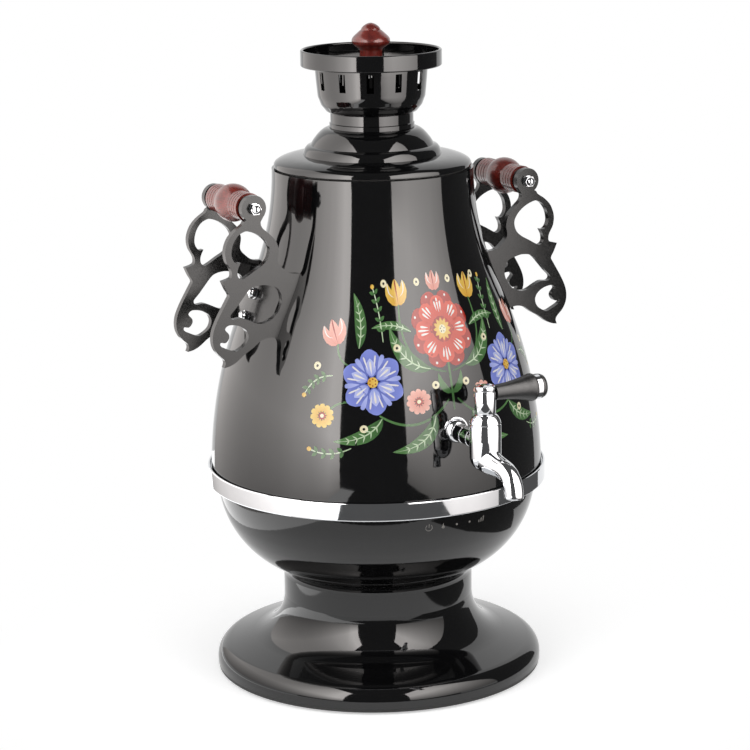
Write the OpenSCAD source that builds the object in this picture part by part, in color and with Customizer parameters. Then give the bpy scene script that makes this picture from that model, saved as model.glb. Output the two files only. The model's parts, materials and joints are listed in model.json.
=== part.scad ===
// Electric samovar: lacquered steel urn on a flared foot, with a tap, two handles and a lift-off lid.
// Millimetres, +Z up. The origin lies on the urn's axis, at the level of the feet. The tap points to -Y.

/* [Foot] */
// Radius of the foot at its vertical lip
foot_r = 118.9; // [118.6:0.1:119.4]
// Height at which the lip starts to curve inwards
foot_lip_z = 7.5; // [7:0.5:8]
// Radius of the convex curve above the lip
foot_convex_r = 12; // [11:0.5:12.5]
// Radius of the concave curve under the pedestal ring
foot_concave_r = 31; // [29:0.5:31.5]
// Thickness of the pressed foot
foot_wall = 1.2; // [1:0.1:1.5]
// Height of the foot's lower edge, on the base plate
foot_edge_z = 4.3; // [4.1:0.1:4.7]
// Height at which the foot ends and the pedestal ring starts
foot_top_z = 54.3; // [54:0.1:55]
// Thickness of the base plate
base_plate_t = 2.5; // [2.2:0.1:2.7]

/* [Pedestal and bowl] */
// Radius of the pedestal ring
pedestal_r = 69; // [68.5:0.1:69.5]
// Height at which the bowl starts
bowl_floor_z = 70.5; // [70:0.1:71]
// Largest radius of the bowl
bowl_r = 115.6; // [115.3:0.1:115.9]
// Height at which the bowl is widest
bowl_wide_z = 144; // [143.9:0.1:144.1]
// Radius of the bowl's convex curve
bowl_convex_r = 71.5; // [71:0.1:71.8]
// Radius of the fillet at the bowl's foot
bowl_concave_r = 8.6; // [8:0.1:8.6]
// Thickness of the bowl's wall
bowl_wall = 1.4; // [1.2:0.1:1.6]

/* [Band] */
// Outer radius of the chrome band
band_r = 122.6; // [122.3:0.1:122.9]
// Lower edge of the band
band_low_z = 141.2; // [141:0.1:141.4]
// Upper edge of the band
band_top_z = 154; // [153.5:0.1:154.5]

/* [Body] */
// Radius of the body where it stands in the band
body_r = 120.1; // [120:0.05:120.2]
// Height of the body's lower edge
body_low_z = 147.2; // [147.1:0.05:147.3]
// Radius of the body's convex curve
body_convex_r = 325.6; // [325:0.1:325.6]
// Radius of the body at the top
body_top_r = 72; // [71.95:0.05:72.1]
// Height of the body's upper edge
body_top_z = 368.9; // [368.8:0.05:369]
// Radius of the body's concave curve
body_concave_r = 209.4; // [209:0.1:209.4]
// Thickness of the body's wall
body_wall = 1; // [0.8:0.1:1.2]
// Gap between the body and the tank inside it
tank_gap = 9; // [8.8:0.1:9.2]
// Thickness of the tank's wall
tank_wall = 1; // [0.8:0.1:1.2]
// Height of the tank's floor
tank_floor_z = 178; // [177.5:0.5:179]

/* [Lid and crown] */
// Radius of the lid's rolled rim
lid_r = 70.4; // [70.2:0.1:70.6]
// Lower edge of the lid's rim
lid_rim_z = 370.2; // [370.1:0.1:370.3]
// Top of the lid's upper dome
lid_top_z = 397.5; // [397.4:0.1:397.6]
// Number of slots in the crown
slot_count = 12; // [8:1:14]
// Width of a slot
slot_w = 5; // [3:0.5:6]
// Outer radius of the teapot dish
dish_r = 50.2; // [49.8:0.1:50.6]
// Height of the dish's underside
dish_z = 441.2; // [441.1:0.1:441.3]
// Height of the dish's rim
dish_top_z = 452.9; // [452:0.1:453.5]
// Widest radius of the turned knob
knob_r = 14.4; // [13.5:0.1:15]
// Top of the knob
knob_top_z = 471.2; // [470.5:0.1:471.8]

/* [Handles] */
// Distance of the grip's axis from the urn's axis
hub_x = 110.5; // [110.2:0.1:110.8]
// Height of the grip's axis
hub_z = 352.8; // [352.6:0.1:353]
// Radius of the bracket's eye around the grip bolt
hub_r = 9.3; // [9:0.1:9.6]
// Distance from the middle of a handle to the outer face of a scroll plate
plate_y = 32; // [31.5:0.1:32.5]
// Thickness of a scroll plate
plate_t = 4.5; // [4:0.1:5]
// Thickness of the pad that lies on the body
pad_t = 5.5; // [5:0.1:6]
// Radius of the grip at its middle
grip_r = 13.3; // [12.5:0.1:14]
// Radius of the grip at its ridged ends
grip_end_r = 10; // [9.8:0.1:10.4]

/* [Tap] */
// Distance of the tap's vertical axis from the urn's axis
tap_y = 153.5; // [153:0.1:154]
// Height of the tap's shank
shank_z = 199.3; // [199:0.1:199.6]
// Radius of the tap's barrel
barrel_r = 11.25; // [11:0.05:11.5]
// Radius of the shank
shank_r = 5.75; // [5.6:0.05:5.8]
// Radius of the turning plug
plug_r = 6; // [5.9:0.05:6.1]
// Radius of the spout
spout_r = 6.5; // [6.3:0.1:6.8]
// Radius of the water way
water_r = 4; // [3.5:0.1:4.2]
// Length of the lever from the tap's axis to its end
lever_l = 47; // [46:0.5:48]

/* [Hidden] */
// Sides of the large round pieces and of the small ones
fine = 180;
small = 48;

// Colours
lacquer = "#1b1a1a";
chrome = "#d9dadc";
steel = "#a9abac";
black_plastic = "#222222";
rubber = "#161616";
wood = "#6a1f1c";
brass = "#b5954a";
board_green = "#1f5a35";

// Levels of the stack
foot_bottom_z = foot_edge_z - base_plate_t;
bowl_edge_z = body_low_z - 1.2;
tank_flange_z = body_top_z;
tank_flange_t = 0.8;
tank_flange_r = body_top_r - 4.6;
flange_w = 5;
tank_inset = body_wall + tank_gap;

// The three tie rods that hold foot, ring, bowl and band against the tank
rod_circle = 60;
rod_r = 2;
rod_low_z = 45;
rod_clear = 0.4;
foot_flange_in = 42;
foot_flange_t = 1.6;

// Heater under the tank
heater_r = 45;
heater_t = 5;
heater_low_z = tank_floor_z - heater_t;
element_circle = 34;
element_r = 3.6;
element_gap = 20;
element_z = heater_low_z - element_r;
terminal_low_z = 150;
terminal_r = 2;
thermostat_r = 12;
thermostat_t = 9;
fuse_y = 20;

// Control board on the bowl's floor
board_x = 90;
board_y = 64;
board_t = 1.6;
board_z = 84;
board_hole_x = 40;
board_hole_y = 27;
bowl_floor_top = bowl_floor_z + bowl_wall;
wire_r = 1.5;
block_top_z = 96;
input_block_y = 24;
input_block_h = 10;
input_block_top = board_z + board_t + input_block_h;
lead_bend = 6;

// Touch board behind the bowl's wall, under the tap
touch_w = 52;
touch_low_z = 125.5;
touch_h = 16;
touch_board_y = 106.6;
touch_board_t = 1.6;
guide_t = 2;
led_step = 10;
cable_bend = 8;

// Power inlet at the back
inlet_w = 54;
inlet_h = 31;
inlet_z = 120;
inlet_back_y = 88;
inlet_proud = 0.9;
socket_w = 27;
socket_h = 19;
socket_depth = 17;
socket_front_y = 109;
pin_l = 12;
pin_tail = 6;
pin_places = [[-7, -2], [7, -2], [0, 3.5]];
inlet_screw_x = 20.5;

// Handle bolts: normal to the body where the pad lies, tilted up by this angle
bolt_tilt = 23;
upper_bolt_z = 284.2;
lower_bolt_z = 268.4;
bolt_r = 2;
nut_across = 7;
pad_low_z = 263;
pad_top_z = 301.5;
grip_half = 24;

// Outline of a scroll plate, seen from the grip's axis with x away from the urn. A point given
// twice is a corner.
scroll_outline = [
    [5.8, -7.3], [8.8, -10.3], [14.8, -14.3], [19.8, -19.8], [22.5, -27.3], [21.8, -34.3],
    [18.8, -39.8], [17.8, -43.3], [18.8, -46.3], [25.2, -48.1], [25.2, -48.1], [22.6, -53.8],
    [20.1, -58.5], [22, -62.3], [29.2, -74.4], [33, -83.3], [33.3, -91.3], [30.3, -97.8],
    [25.3, -102.8], [24.2, -105.6], [25.2, -108.6], [25.2, -108.6], [20.8, -107.8], [15.8, -105.5],
    [9.8, -101.1], [2.8, -97], [-3.2, -92.8], [-9.2, -91.3], [-14.7, -91.8], [-14.7, -91.8],
    [-43.2, -91.8], [-43.2, -91.8], [-43.2, -48.4], [-43.2, -48.4], [-34.2, -48.4], [-27.2, -47.6],
    [-22.2, -44.3], [-17.6, -38.8], [-18.4, -30.8], [-16.2, -23.8], [-11.2, -18.3], [-6.2, -13.8],
    [-4.9, -9.8], [-6.2, -5.8]
];
upper_hole = [
    [5.1, -15.1], [-2.2, -18], [-8.2, -22.8], [-11.4, -28.8], [-9.9, -35.5], [-5.2, -40], [0.8, -43.3],
    [7.1, -46.9], [10.3, -48], [13.2, -46], [13.4, -41.5], [11, -36.4], [11, -36.4], [14.4, -36.5],
    [17.1, -33.3], [17.8, -28.8], [16.3, -22.8], [12.8, -17.8], [8.8, -15.5]
];
middle_hole = [
    [-10.5, -54.6], [-4.7, -53.6], [1.8, -54.5], [6.3, -57.3], [14.8, -67.1], [19.6, -72.3],
    [17.8, -75.3], [11.8, -75], [6.8, -76.8], [-0.2, -80.1], [-6.2, -80.5], [-12.3, -78.2],
    [-17, -73.6], [-19.8, -66.8], [-19.2, -60.8], [-16.2, -56.6]
];
lower_hole = [
    [20.8, -79.1], [13.8, -80.2], [8.3, -83.7], [6.3, -88.3], [8, -93.3], [12.8, -96.8], [16.8, -98],
    [21.8, -96.1], [27.4, -93.1], [27.5, -90.6], [23.8, -91.1], [21.2, -88.3], [21.2, -85.3],
    [24, -81.6]
];
curve_steps = 4;

// Tap
barrel_low_z = shank_z - 8.6;
barrel_top_z = shank_z + 14.4;
bonnet_top_z = shank_z + 20.9;
head_r = 7.6;
head_top_z = shank_z + 37.6;
lever_z = shank_z + 34.3;
spout_z = shank_z - 12.5;
spout_run = 26.5;
spout_bend = 10;
spout_end_z = shank_z - 30.5;
plug_low_z = shank_z - 6.5;
plug_top_z = shank_z + 9.2;
stem_r = 4;
stem_top_z = shank_z + 33;
running_fit = 0.05;
neck_bore_r = 8;
neck_bore_z = shank_z + 11;
shank_in_y = 96;
lever_tang_r = 2.5;
lever_ring_w = 3.4;
ring_x = lever_l - 9;

// Lid and crown
lid_sheet = 1;
lid_rim_top = 373.8;
liner_r = 59;
liner_z = 371.7;
liner_low_z = 362;
crown_wall = 1.2;
crown_base_z = lid_top_z + 0.1;
steam_r = 20;
slot_low_z = 425.6;
slot_top_z = 438.6;
dish_floor_t = 1.4;
dish_hole_r = 24.4;
screw_circle = 27;
crown_screw_circle = 26.6;
cap_r = 30;
cap_z = 442.8;
cap_t = 1.2;
seat_in = cap_r + 0.6;
seat_h = 1;
cap_skirt_r = dish_hole_r - 1.5;
cap_skirt_h = 16;
collar_r = 8.3;
knob_wide_z = 458;
knob_step_z = 467;

// ---------------------------------------------------------------- shapes

// Closed curve through the given points (Catmull-Rom)
function curve_at(a, b, c, d, t) =
    0.5 * (2 * b + (c - a) * t + (2 * a - 5 * b + 4 * c - d) * pow(t, 2)
        + (3 * b - a - 3 * c + d) * pow(t, 3));
function curve(p, n = curve_steps) = [
    for (i = [0 : len(p) - 1]) let (
        a = p[(i + len(p) - 1) % len(p)],
        b = p[i],
        c = p[(i + 1) % len(p)],
        d = p[(i + 2) % len(p)]
    ) if (b != c) for (k = [0 : n - 1]) curve_at(a, b, c, d, k / n)
];

// Angle of the line that joins a convex curve of radius rc to a concave one of radius rk
function join_angle(rw, zw, rc, rn, zn, rk) = let (
    dr = (rn + rk) - (rw - rc),
    dz = abs(zn - zw)
) atan2(dz, dr) - acos(min(1, (rc + rk) / norm([dr, dz])));

// Half section of a round body: widest at (rw, zw) with a convex curve of radius rc, narrowest at
// (rn, zn) with a concave curve of radius rk. "inset" moves the whole outline inwards. The straight
// line between the two stands 0.002 proud of them, so that it crosses both curves cleanly.
module ogee(rw, zw, rc, rn, zn, rk, inset = 0) {
    a = join_angle(rw, zw, rc, rn, zn, rk);
    up = sign(zn - zw);
    proud = 0.002;
    r1 = rc - inset;
    r2 = rk + inset;
    convex = [rw - rc, zw];
    concave = [rn + rk, zn];
    difference() {
        intersection() {
            union() {
                polygon(concat(rw > rc ? [convex] : [], [
                    convex + (r1 + proud) * [cos(a), up * sin(a)],
                    concave - (r2 - proud) * [cos(a), up * sin(a)],
                    [rn - inset, zn], [0, zn], [0, zw]
                ]));
                translate(convex) circle(r = r1, $fn = 2 * fine);
            }
            translate([0, min(zw, zn)]) square([rw - inset + 1, abs(zn - zw)]);
        }
        translate(concave) circle(r = r2, $fn = 2 * fine);
    }
}

module foot_section(inset = 0) {
    ogee(foot_r, foot_lip_z, foot_convex_r, pedestal_r, foot_top_z, foot_concave_r, inset);
    translate([0, foot_edge_z]) square([foot_r - inset, foot_lip_z - foot_edge_z]);
}

module bowl_section(inset = 0) {
    ogee(bowl_r, bowl_wide_z, bowl_convex_r, pedestal_r, bowl_floor_z, bowl_concave_r, inset);
    translate([0, bowl_wide_z]) square([bowl_r - inset, bowl_edge_z - bowl_wide_z]);
}

module body_section(inset = 0) {
    ogee(body_r, body_low_z, body_convex_r, body_top_r, body_top_z, body_concave_r, inset);
}

module ring(r_out, r_in, z, h) {
    rotate_extrude($fn = fine) translate([r_in, z]) square([r_out - r_in, h]);
}

// A small upright cylinder that starts at height z, or a cone when r2 is given
module bar(h, r, z = 0, r2 = -1) {
    translate([0, 0, z]) cylinder(h = h, r1 = r, r2 = r2 < 0 ? r : r2, $fn = small);
}

// A straight round bar from p to q
module rod(p, q, r) {
    v = q - p;
    translate(p) rotate([0, acos(v.z / norm(v)), atan2(v.y, v.x)]) bar(norm(v), r);
}

// Quarter turn of round bar about the origin
module quarter_bend(bend, r) {
    rotate_extrude(angle = 90, $fn = small * 2) translate([bend, 0]) circle(r = r, $fn = small);
}

// Radius of the body at height z
function body_at(z) = let (
    a = join_angle(body_r, body_low_z, body_convex_r, body_top_r, body_top_z, body_concave_r),
    join_z = body_low_z + body_convex_r * sin(a)
) z < join_z ? body_r - body_convex_r + sqrt(pow(body_convex_r, 2) - pow(z - body_low_z, 2))
    : body_top_r + body_concave_r - sqrt(pow(body_concave_r, 2) - pow(body_top_z - z, 2));

module around(count, radius, start = 0) {
    for (i = [0 : count - 1]) rotate(start + i * 360 / count) translate([radius, 0, 0]) children();
}

// Acorn nut that stands on z = 0, with its washer
module acorn_nut(across, bore_r) {
    hex_h = across * 0.42;
    dome_r = across * 0.46;
    difference() {
        union() {
            bar(0.8, across * 0.58);
            translate([0, 0, 0.8]) cylinder(h = hex_h, r = across / 2 / cos(30), $fn = 6);
            translate([0, 0, 0.8 + hex_h]) intersection() {
                sphere(r = dome_r, $fn = small);
                bar(dome_r, dome_r);
            }
        }
        bar(hex_h + 2.4, bore_r, -1);
    }
}

module hex_nut(across, h, bore_r) {
    difference() {
        cylinder(h = h, r = across / 2 / cos(30), $fn = 6);
        bar(h + 2, bore_r, -1);
    }
}

// ---------------------------------------------------------------- foot and bowl

foot_screws = 4;
foot_screw_circle = 108;
feet_circle = 95;
foot_pad_r = 9;
tab_l = foot_r - foot_screw_circle + 5 - 0.5;

module base_plate() color(black_plastic) difference() {
    translate([0, 0, foot_bottom_z]) cylinder(h = base_plate_t, r = foot_r - 0.7, $fn = fine);
    around(foot_screws, foot_screw_circle) bar(5, 1.8, foot_bottom_z - 1);
    around(foot_screws, feet_circle, 45) bar(5, 3, foot_bottom_z - 1);
}

module rubber_feet() color(rubber) around(foot_screws, feet_circle, 45) {
    bar(foot_bottom_z, foot_pad_r);
    bar(foot_edge_z, 3);
    bar(1.5, 4.5, foot_edge_z);
}

module base_plate_screws() color(steel) around(foot_screws, foot_screw_circle) {
    bar(1.2, 3.2, foot_bottom_z - 1.2);
    bar(8, 1.6, foot_bottom_z);
}

module base_skirt() color(lacquer) difference() {
    union() {
        rotate_extrude($fn = fine) difference() {
            foot_section();
            foot_section(foot_wall);
        }
        ring(pedestal_r - 0.6, foot_flange_in, foot_top_z - foot_flange_t, foot_flange_t);
        around(foot_screws, foot_screw_circle) translate([-5, -7, foot_edge_z])
            cube([tab_l, 14, foot_wall]);
    }
    around(3, rod_circle) bar(5, rod_r + rod_clear, foot_top_z - 3);
    around(foot_screws, foot_screw_circle) bar(4, 1.65, foot_edge_z - 1);
}

module pedestal_ring() color(lacquer)
    ring(pedestal_r, pedestal_r - foot_wall, foot_top_z, bowl_floor_z - foot_top_z);

module inlet_block(grow) {
    intersection() {
        translate([-inlet_w / 2 - grow, inlet_back_y, inlet_z - inlet_h / 2 - grow])
            cube([inlet_w + 2 * grow, 40, inlet_h + 2 * grow]);
        rotate_extrude($fn = fine) bowl_section(-inlet_proud);
    }
}

module lower_bowl() color(lacquer) difference() {
    union() {
        rotate_extrude($fn = fine) difference() {
            bowl_section();
            bowl_section(bowl_wall);
        }
        ring(pedestal_r - 0.6, 20, bowl_floor_z, bowl_wall);
    }
    inlet_block(0.15);
    around(3, rod_circle) bar(5, rod_r + rod_clear, bowl_floor_z - 1);
}

module tie_rods() color(steel)
    around(3, rod_circle) bar(tank_floor_z - rod_low_z, rod_r, rod_low_z);

module tie_rod_nuts() color(steel) around(3, rod_circle) {
    translate([0, 0, foot_top_z - foot_flange_t - 1]) difference() {
        bar(1, 5);
        bar(3, rod_r + 0.05, -1);
    }
    translate([0, 0, foot_top_z - foot_flange_t - 4.2]) hex_nut(7, 3.2, rod_r + 0.02);
}

// The band is a channel: a crowned face outside, a ledge that carries the body, a lip around the bowl
module chrome_band() color(chrome) rotate_extrude($fn = fine) {
    edge = 0.9;
    face_in = band_r - 1.7;
    hull() {
        translate([band_r - edge, band_low_z + edge]) circle(r = edge, $fn = 16);
        translate([band_r - edge, band_top_z - edge]) circle(r = edge, $fn = 16);
        translate([band_r - 0.2, (band_low_z + band_top_z) / 2 - 1]) square([0.2, 2]);
    }
    translate([bowl_r - 4, bowl_edge_z]) square([face_in + 0.3 - (bowl_r - 4), 1.2]);
    translate([bowl_r + 0.2, band_low_z + 0.3]) square([band_r - 1 - (bowl_r + 0.2), 1.2]);
}

// ---------------------------------------------------------------- body and tank

module bolt_at(z, side) {
    mirror([side < 0 ? 1 : 0, 0, 0]) translate([body_at(z), 0, z]) rotate([0, 90 - bolt_tilt, 0])
        children();
}

module all_bolts() {
    for (side = [-1, 1], z = [upper_bolt_z, lower_bolt_z]) bolt_at(z, side) children();
}

module shank_hole(r) {
    translate([0, -90, shank_z]) rotate([90, 0, 0]) bar(40, r);
}

module body_shell() color(lacquer) difference() {
    union() {
        rotate_extrude($fn = fine) difference() {
            body_section();
            body_section(body_wall);
        }
        ring(body_top_r - body_wall / 2, body_top_r - 1 - flange_w, body_top_z - 1, 1);
    }
    all_bolts() bar(12, bolt_r + 0.1, -6);
    shank_hole(shank_r + 0.1);
}

module inner_tank() color(steel) difference() {
    union() {
        rotate_extrude($fn = fine) difference() {
            intersection() {
                body_section(tank_inset);
                translate([0, tank_floor_z]) square([body_r, body_top_z - tank_floor_z]);
            }
            intersection() {
                body_section(tank_inset + tank_wall);
                translate([0, tank_floor_z + tank_wall]) square([body_r, body_top_z]);
            }
        }
        ring(tank_flange_r, body_top_r - tank_inset - tank_wall, tank_flange_z, tank_flange_t);
    }
    shank_hole(shank_r + 0.05);
}

module heater_plate() color(steel)
    translate([0, 0, heater_low_z]) cylinder(h = heater_t, r = heater_r, $fn = fine);

module heater_element() color(steel) translate([0, 0, element_z]) rotate(element_gap)
    rotate_extrude(angle = 360 - 2 * element_gap, $fn = fine)
        translate([element_circle, 0]) circle(r = element_r, $fn = small);

module at_terminals() {
    for (s = [-1, 1]) rotate(s * (element_gap - 3.5)) translate([element_circle, 0, 0]) children();
}

module heater_terminals() color(steel) at_terminals() {
    bar(element_z - terminal_low_z, terminal_r, terminal_low_z);
    translate([0, 0, element_z]) sphere(r = terminal_r, $fn = small);
    translate([-0.4, -3.2, terminal_low_z - 8]) cube([0.8, 6.4, 8]);
}

module thermostat() color(black_plastic) translate([0, 0, heater_low_z - thermostat_t]) {
    bar(thermostat_t, thermostat_r);
    for (x = [-6, 6]) translate([x - 0.4, -3, -7]) cube([0.8, 6, 7.5]);
}

module thermal_fuse() color(steel) translate([0, fuse_y, heater_low_z - 2.2]) {
    rotate([0, 90, 0]) bar(14, 2.2, -7);
    translate([-1.5, -3.5, -2.6]) cube([3, 7, 0.6]);
}

module heater_leads() color("#b8482f") {
    at_terminals() bar(terminal_low_z - 8 - block_top_z, wire_r, block_top_z);
    for (x = [-6, 6]) rod([x, 0, block_top_z], [x, 0, heater_low_z - thermostat_t - 7], wire_r);
}

// ---------------------------------------------------------------- electronics

module at_board_holes() {
    for (x = [-board_hole_x, board_hole_x], y = [-board_hole_y, board_hole_y])
        translate([x, y, 0]) children();
}

// Board with its terminal blocks, relay, capacitor and transformer
module power_board() color(board_green) difference() {
    translate([0, 0, board_z]) {
        translate([-board_x / 2, -board_y / 2, 0]) cube([board_x, board_y, board_t]);
        translate([24, -16, board_t]) cube([14, 32, block_top_z - board_z - board_t]);
        translate([-11, -5, board_t]) cube([22, 10, block_top_z - board_z - board_t]);
        translate([-36, 8, board_t]) cube([20, 16, 15]);
        translate([-36, -18, board_t]) cube([18, 22, 18]);
        translate([20, 24, board_t]) bar(20, 6);
        translate([-13, input_block_y - 2, board_t]) cube([26, 9, input_block_h]);
        translate([-8, -28, board_t]) cube([16, 6, 7]);
    }
    at_board_holes() bar(4, 1.65, board_z - 1);
}

module board_spacers() color(brass) at_board_holes() translate([0, 0, bowl_floor_top]) difference() {
    bar(board_z - bowl_floor_top, 3);
    bar(board_z, 1.5, 3);
}

module board_screws() color(steel) at_board_holes() {
    bar(2, 2.8, board_z + board_t);
    bar(6 + board_t, 1.45, board_z - 6);
}

module touch_board() color(board_green)
    translate([-touch_w / 2, -touch_board_y, touch_low_z]) cube([touch_w, touch_board_t, touch_h]);

// Clear block that carries the light of the lamps to the keys; its front follows the bowl's inner wall
module light_guide() color("#d8dde0") difference() {
    intersection() {
        translate([-touch_w / 2, -bowl_r, touch_low_z]) cube([touch_w, bowl_r - touch_board_y, touch_h]);
        rotate_extrude($fn = fine) bowl_section(bowl_wall + 0.1);
    }
    for (i = [-2 : 2]) translate([i * led_step, -touch_board_y + 1, touch_low_z + touch_h / 2])
        rotate([90, 0, 0]) bar(1 + guide_t, 2);
}

module indicator_leds() color("#e9ece8") for (i = [-2 : 2])
    translate([i * led_step, -touch_board_y, touch_low_z + touch_h / 2])
        rotate([90, 0, 0]) bar(1.4, 1.5);

// Flat cable that leaves the touch board level and bends down to its plug on the control board
module ribbon_cable() color("#77797b") {
    t = 0.8;
    level_z = touch_low_z + 3;
    plug_y = 25;
    plug_z = board_z + board_t + 7;
    back_y = touch_board_y - touch_board_t;
    translate([-6, 0, 0]) rotate([90, 0, 90]) linear_extrude(12) {
        translate([-back_y, level_z]) square([back_y - plug_y - cable_bend - t, t]);
        translate([-plug_y - t - cable_bend, level_z - cable_bend]) intersection() {
            difference() {
                circle(r = cable_bend + t, $fn = small);
                circle(r = cable_bend, $fn = small);
            }
            square(cable_bend + t);
        }
        translate([-plug_y - t, plug_z]) square([t, level_z - cable_bend - plug_z]);
    }
}

// Inlet moulding: its face follows the bowl, with a socket recess and two screw holes
module power_inlet() color(black_plastic) difference() {
    inlet_block(0);
    translate([-socket_w / 2, socket_front_y - socket_depth, inlet_z - socket_h / 2])
        cube([socket_w, 40, socket_h]);
    for (s = [-1, 1]) translate([s * inlet_screw_x, 0, inlet_z]) {
        translate([0, socket_front_y - 2, 0]) rotate([-90, 0, 0]) bar(20, 3.4);
        translate([0, inlet_back_y - 1, 0]) rotate([-90, 0, 0]) bar(30, 1.6);
    }
    inlet_pins();
}

module at_pins() {
    for (p = pin_places) translate([p.x, 0, inlet_z + p.y]) children();
}

// Flat pins with a solder tail behind the inlet
module inlet_pins() color(brass) at_pins() {
    tail = inlet_back_y - pin_tail;
    translate([-2, tail, -1]) cube([4, socket_front_y - socket_depth + pin_l - tail, 2]);
}

module inlet_screws() color(steel) for (s = [-1, 1])
    translate([s * inlet_screw_x, socket_front_y - 2, inlet_z]) rotate([90, 0, 0]) {
        bar(1.8, 3, -1.8);
        bar(socket_front_y - inlet_back_y + 4, 1.5);
    }

// Each lead runs level from its pin, turns down and ends on the board's input block
module inlet_leads() color("#3c3f44") for (p = pin_places) {
    lead_y = input_block_y + 2 + 2.5 * abs(p.x) / 7;
    far_y = inlet_back_y - pin_tail;
    top_z = inlet_z + p.y - lead_bend;
    translate([p.x, far_y, inlet_z + p.y]) rotate([90, 0, 0]) bar(far_y - lead_y - lead_bend, wire_r);
    translate([p.x, lead_y + lead_bend, top_z]) rotate([90, 0, -90]) quarter_bend(lead_bend, wire_r);
    translate([p.x, lead_y, 0]) bar(top_z - input_block_top, wire_r, input_block_top);
}

// ---------------------------------------------------------------- handles

module scroll_plate() {
    difference() {
        union() {
            polygon(curve(scroll_outline));
            circle(r = hub_r, $fn = 64);
        }
        polygon(curve(upper_hole));
        polygon(curve(middle_hole));
        polygon(curve(lower_hole));
    }
}

// Two scroll plates joined by a pad on the body, with a seat for the grip inside each eye
module bracket() {
    inner_y = plate_y - plate_t;
    difference() {
        union() {
            for (s = [-1, 1]) translate([0, s > 0 ? plate_y : -inner_y, 0])
                rotate([90, 0, 0]) linear_extrude(plate_t) translate([hub_x, hub_z]) scroll_plate();
            for (s = [-1, 1]) translate([hub_x, s > 0 ? inner_y : -grip_half, hub_z])
                rotate([90, 0, 0]) cylinder(h = inner_y - grip_half, r = hub_r - 1, $fn = 64);
            intersection() {
                rotate_extrude($fn = fine) body_section(-pad_t);
                translate([60, -inner_y - 0.5, pad_low_z])
                    cube([60, 2 * inner_y + 1, pad_top_z - pad_low_z]);
            }
        }
        rotate_extrude($fn = fine) body_section(-0.1);
        translate([hub_x, plate_y + 1, hub_z]) rotate([90, 0, 0]) bar(2 * plate_y + 2, bolt_r + 0.1);
        for (z = [upper_bolt_z, lower_bolt_z]) bolt_at(z, 1) {
            bar(20, bolt_r + 0.1);
            bar(10, 5.6, pad_t + 0.2);
        }
    }
}

module right_bracket() color("#2a2a2a") bracket();
module left_bracket() color("#2a2a2a") mirror([1, 0, 0]) bracket();

// Turned grip along Y: a ball in the middle and ridged ends
module grip() {
    ridge = 3.4;
    waist = 10.6;
    ball_r = 16;
    groove = 0.5;
    translate([hub_x, 0, hub_z]) rotate([90, 0, 0]) difference() {
        union() {
            translate([0, 0, -grip_half]) cylinder(h = 2 * grip_half, r = grip_end_r, $fn = 64);
            rotate_extrude($fn = 64) polygon(concat(
                [[0, -waist]],
                [for (y = [-waist : waist / 8 : waist])
                    [grip_r - ball_r + sqrt(pow(ball_r, 2) - y * y), y]],
                [[0, waist]]
            ));
        }
        for (s = [-1, 1], i = [1 : 3]) translate([0, 0, s * (grip_half - i * ridge)])
            rotate_extrude($fn = 64) translate([grip_end_r + 0.1, 0]) circle(r = groove, $fn = 16);
        bar(2 * grip_half + 2, bolt_r + 0.1, -grip_half - 1);
    }
}

module right_grip() color(wood) grip();
module left_grip() color(wood) mirror([1, 0, 0]) grip();

module grip_bolts() color(steel) for (s = [-1, 1])
    translate([s * hub_x, plate_y + 4, hub_z]) rotate([90, 0, 0]) bar(2 * plate_y + 8, bolt_r);

module grip_nuts() color(chrome) for (s = [-1, 1], t = [-1, 1])
    translate([s * hub_x, t * plate_y, hub_z]) rotate([-90 * t, 0, 0]) acorn_nut(nut_across, bolt_r + 0.05);

module handle_bolts() color(steel) all_bolts() {
    bar(2.4, 5, -body_wall - 2.6);
    bar(pad_t + 5.4, bolt_r, -body_wall - 1);
}

module handle_nuts() color(chrome) all_bolts()
    translate([0, 0, pad_t + 0.25]) acorn_nut(nut_across, bolt_r + 0.05);

// ---------------------------------------------------------------- tap

// Turns a shape that stands on +Z so that it points to -Y from the given distance
module forward(y) {
    translate([0, -y, shank_z]) rotate([90, 0, 0]) children();
}

module tap_escutcheon() color(chrome) difference() {
    forward(112) rotate_extrude($fn = 64) intersection() {
        translate([0, -4]) circle(r = 14.2, $fn = 96);
        square([10.3, 20]);
    }
    rotate_extrude($fn = fine) body_section(-0.1);
    forward(100) bar(40, shank_r + 0.05);
}

module tap_shank() color("#3a3a3a") difference() {
    forward(shank_in_y) bar(tap_y - barrel_r + 3 - shank_in_y, shank_r);
    forward(shank_in_y - 1) bar(60, water_r);
}

module shank_gaskets() color(rubber) for (side = [0, 1]) {
    at = side == 0 ? 104.2 : 108;
    difference() {
        forward(at) bar(side == 0 ? 1.6 : 3.2, 9);
        forward(at - 1) bar(8, shank_r + 0.05);
        if (side == 0) rotate_extrude($fn = fine) difference() {
            translate([0, 150]) square([140, 100]);
            body_section(tank_inset + tank_wall + 0.1);
        }
        if (side == 1) rotate_extrude($fn = fine) body_section(tank_inset - 0.1);
    }
}

module shank_nut() color(brass) forward(97.4) difference() {
    cylinder(h = 5, r = 9 / cos(30), $fn = 6);
    bar(7, shank_r + 0.02, -1);
}

module spout(r) {
    translate([0, -tap_y, 0]) {
        translate([0, 0, spout_z]) rotate([90, 0, 0]) bar(spout_run, r);
        translate([0, -spout_run, spout_z - spout_bend]) rotate([90, 0, -90])
            quarter_bend(spout_bend, r);
        translate([0, -spout_run - spout_bend, 0])
            bar(spout_z - spout_bend - spout_end_z, r, spout_end_z);
    }
}

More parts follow.
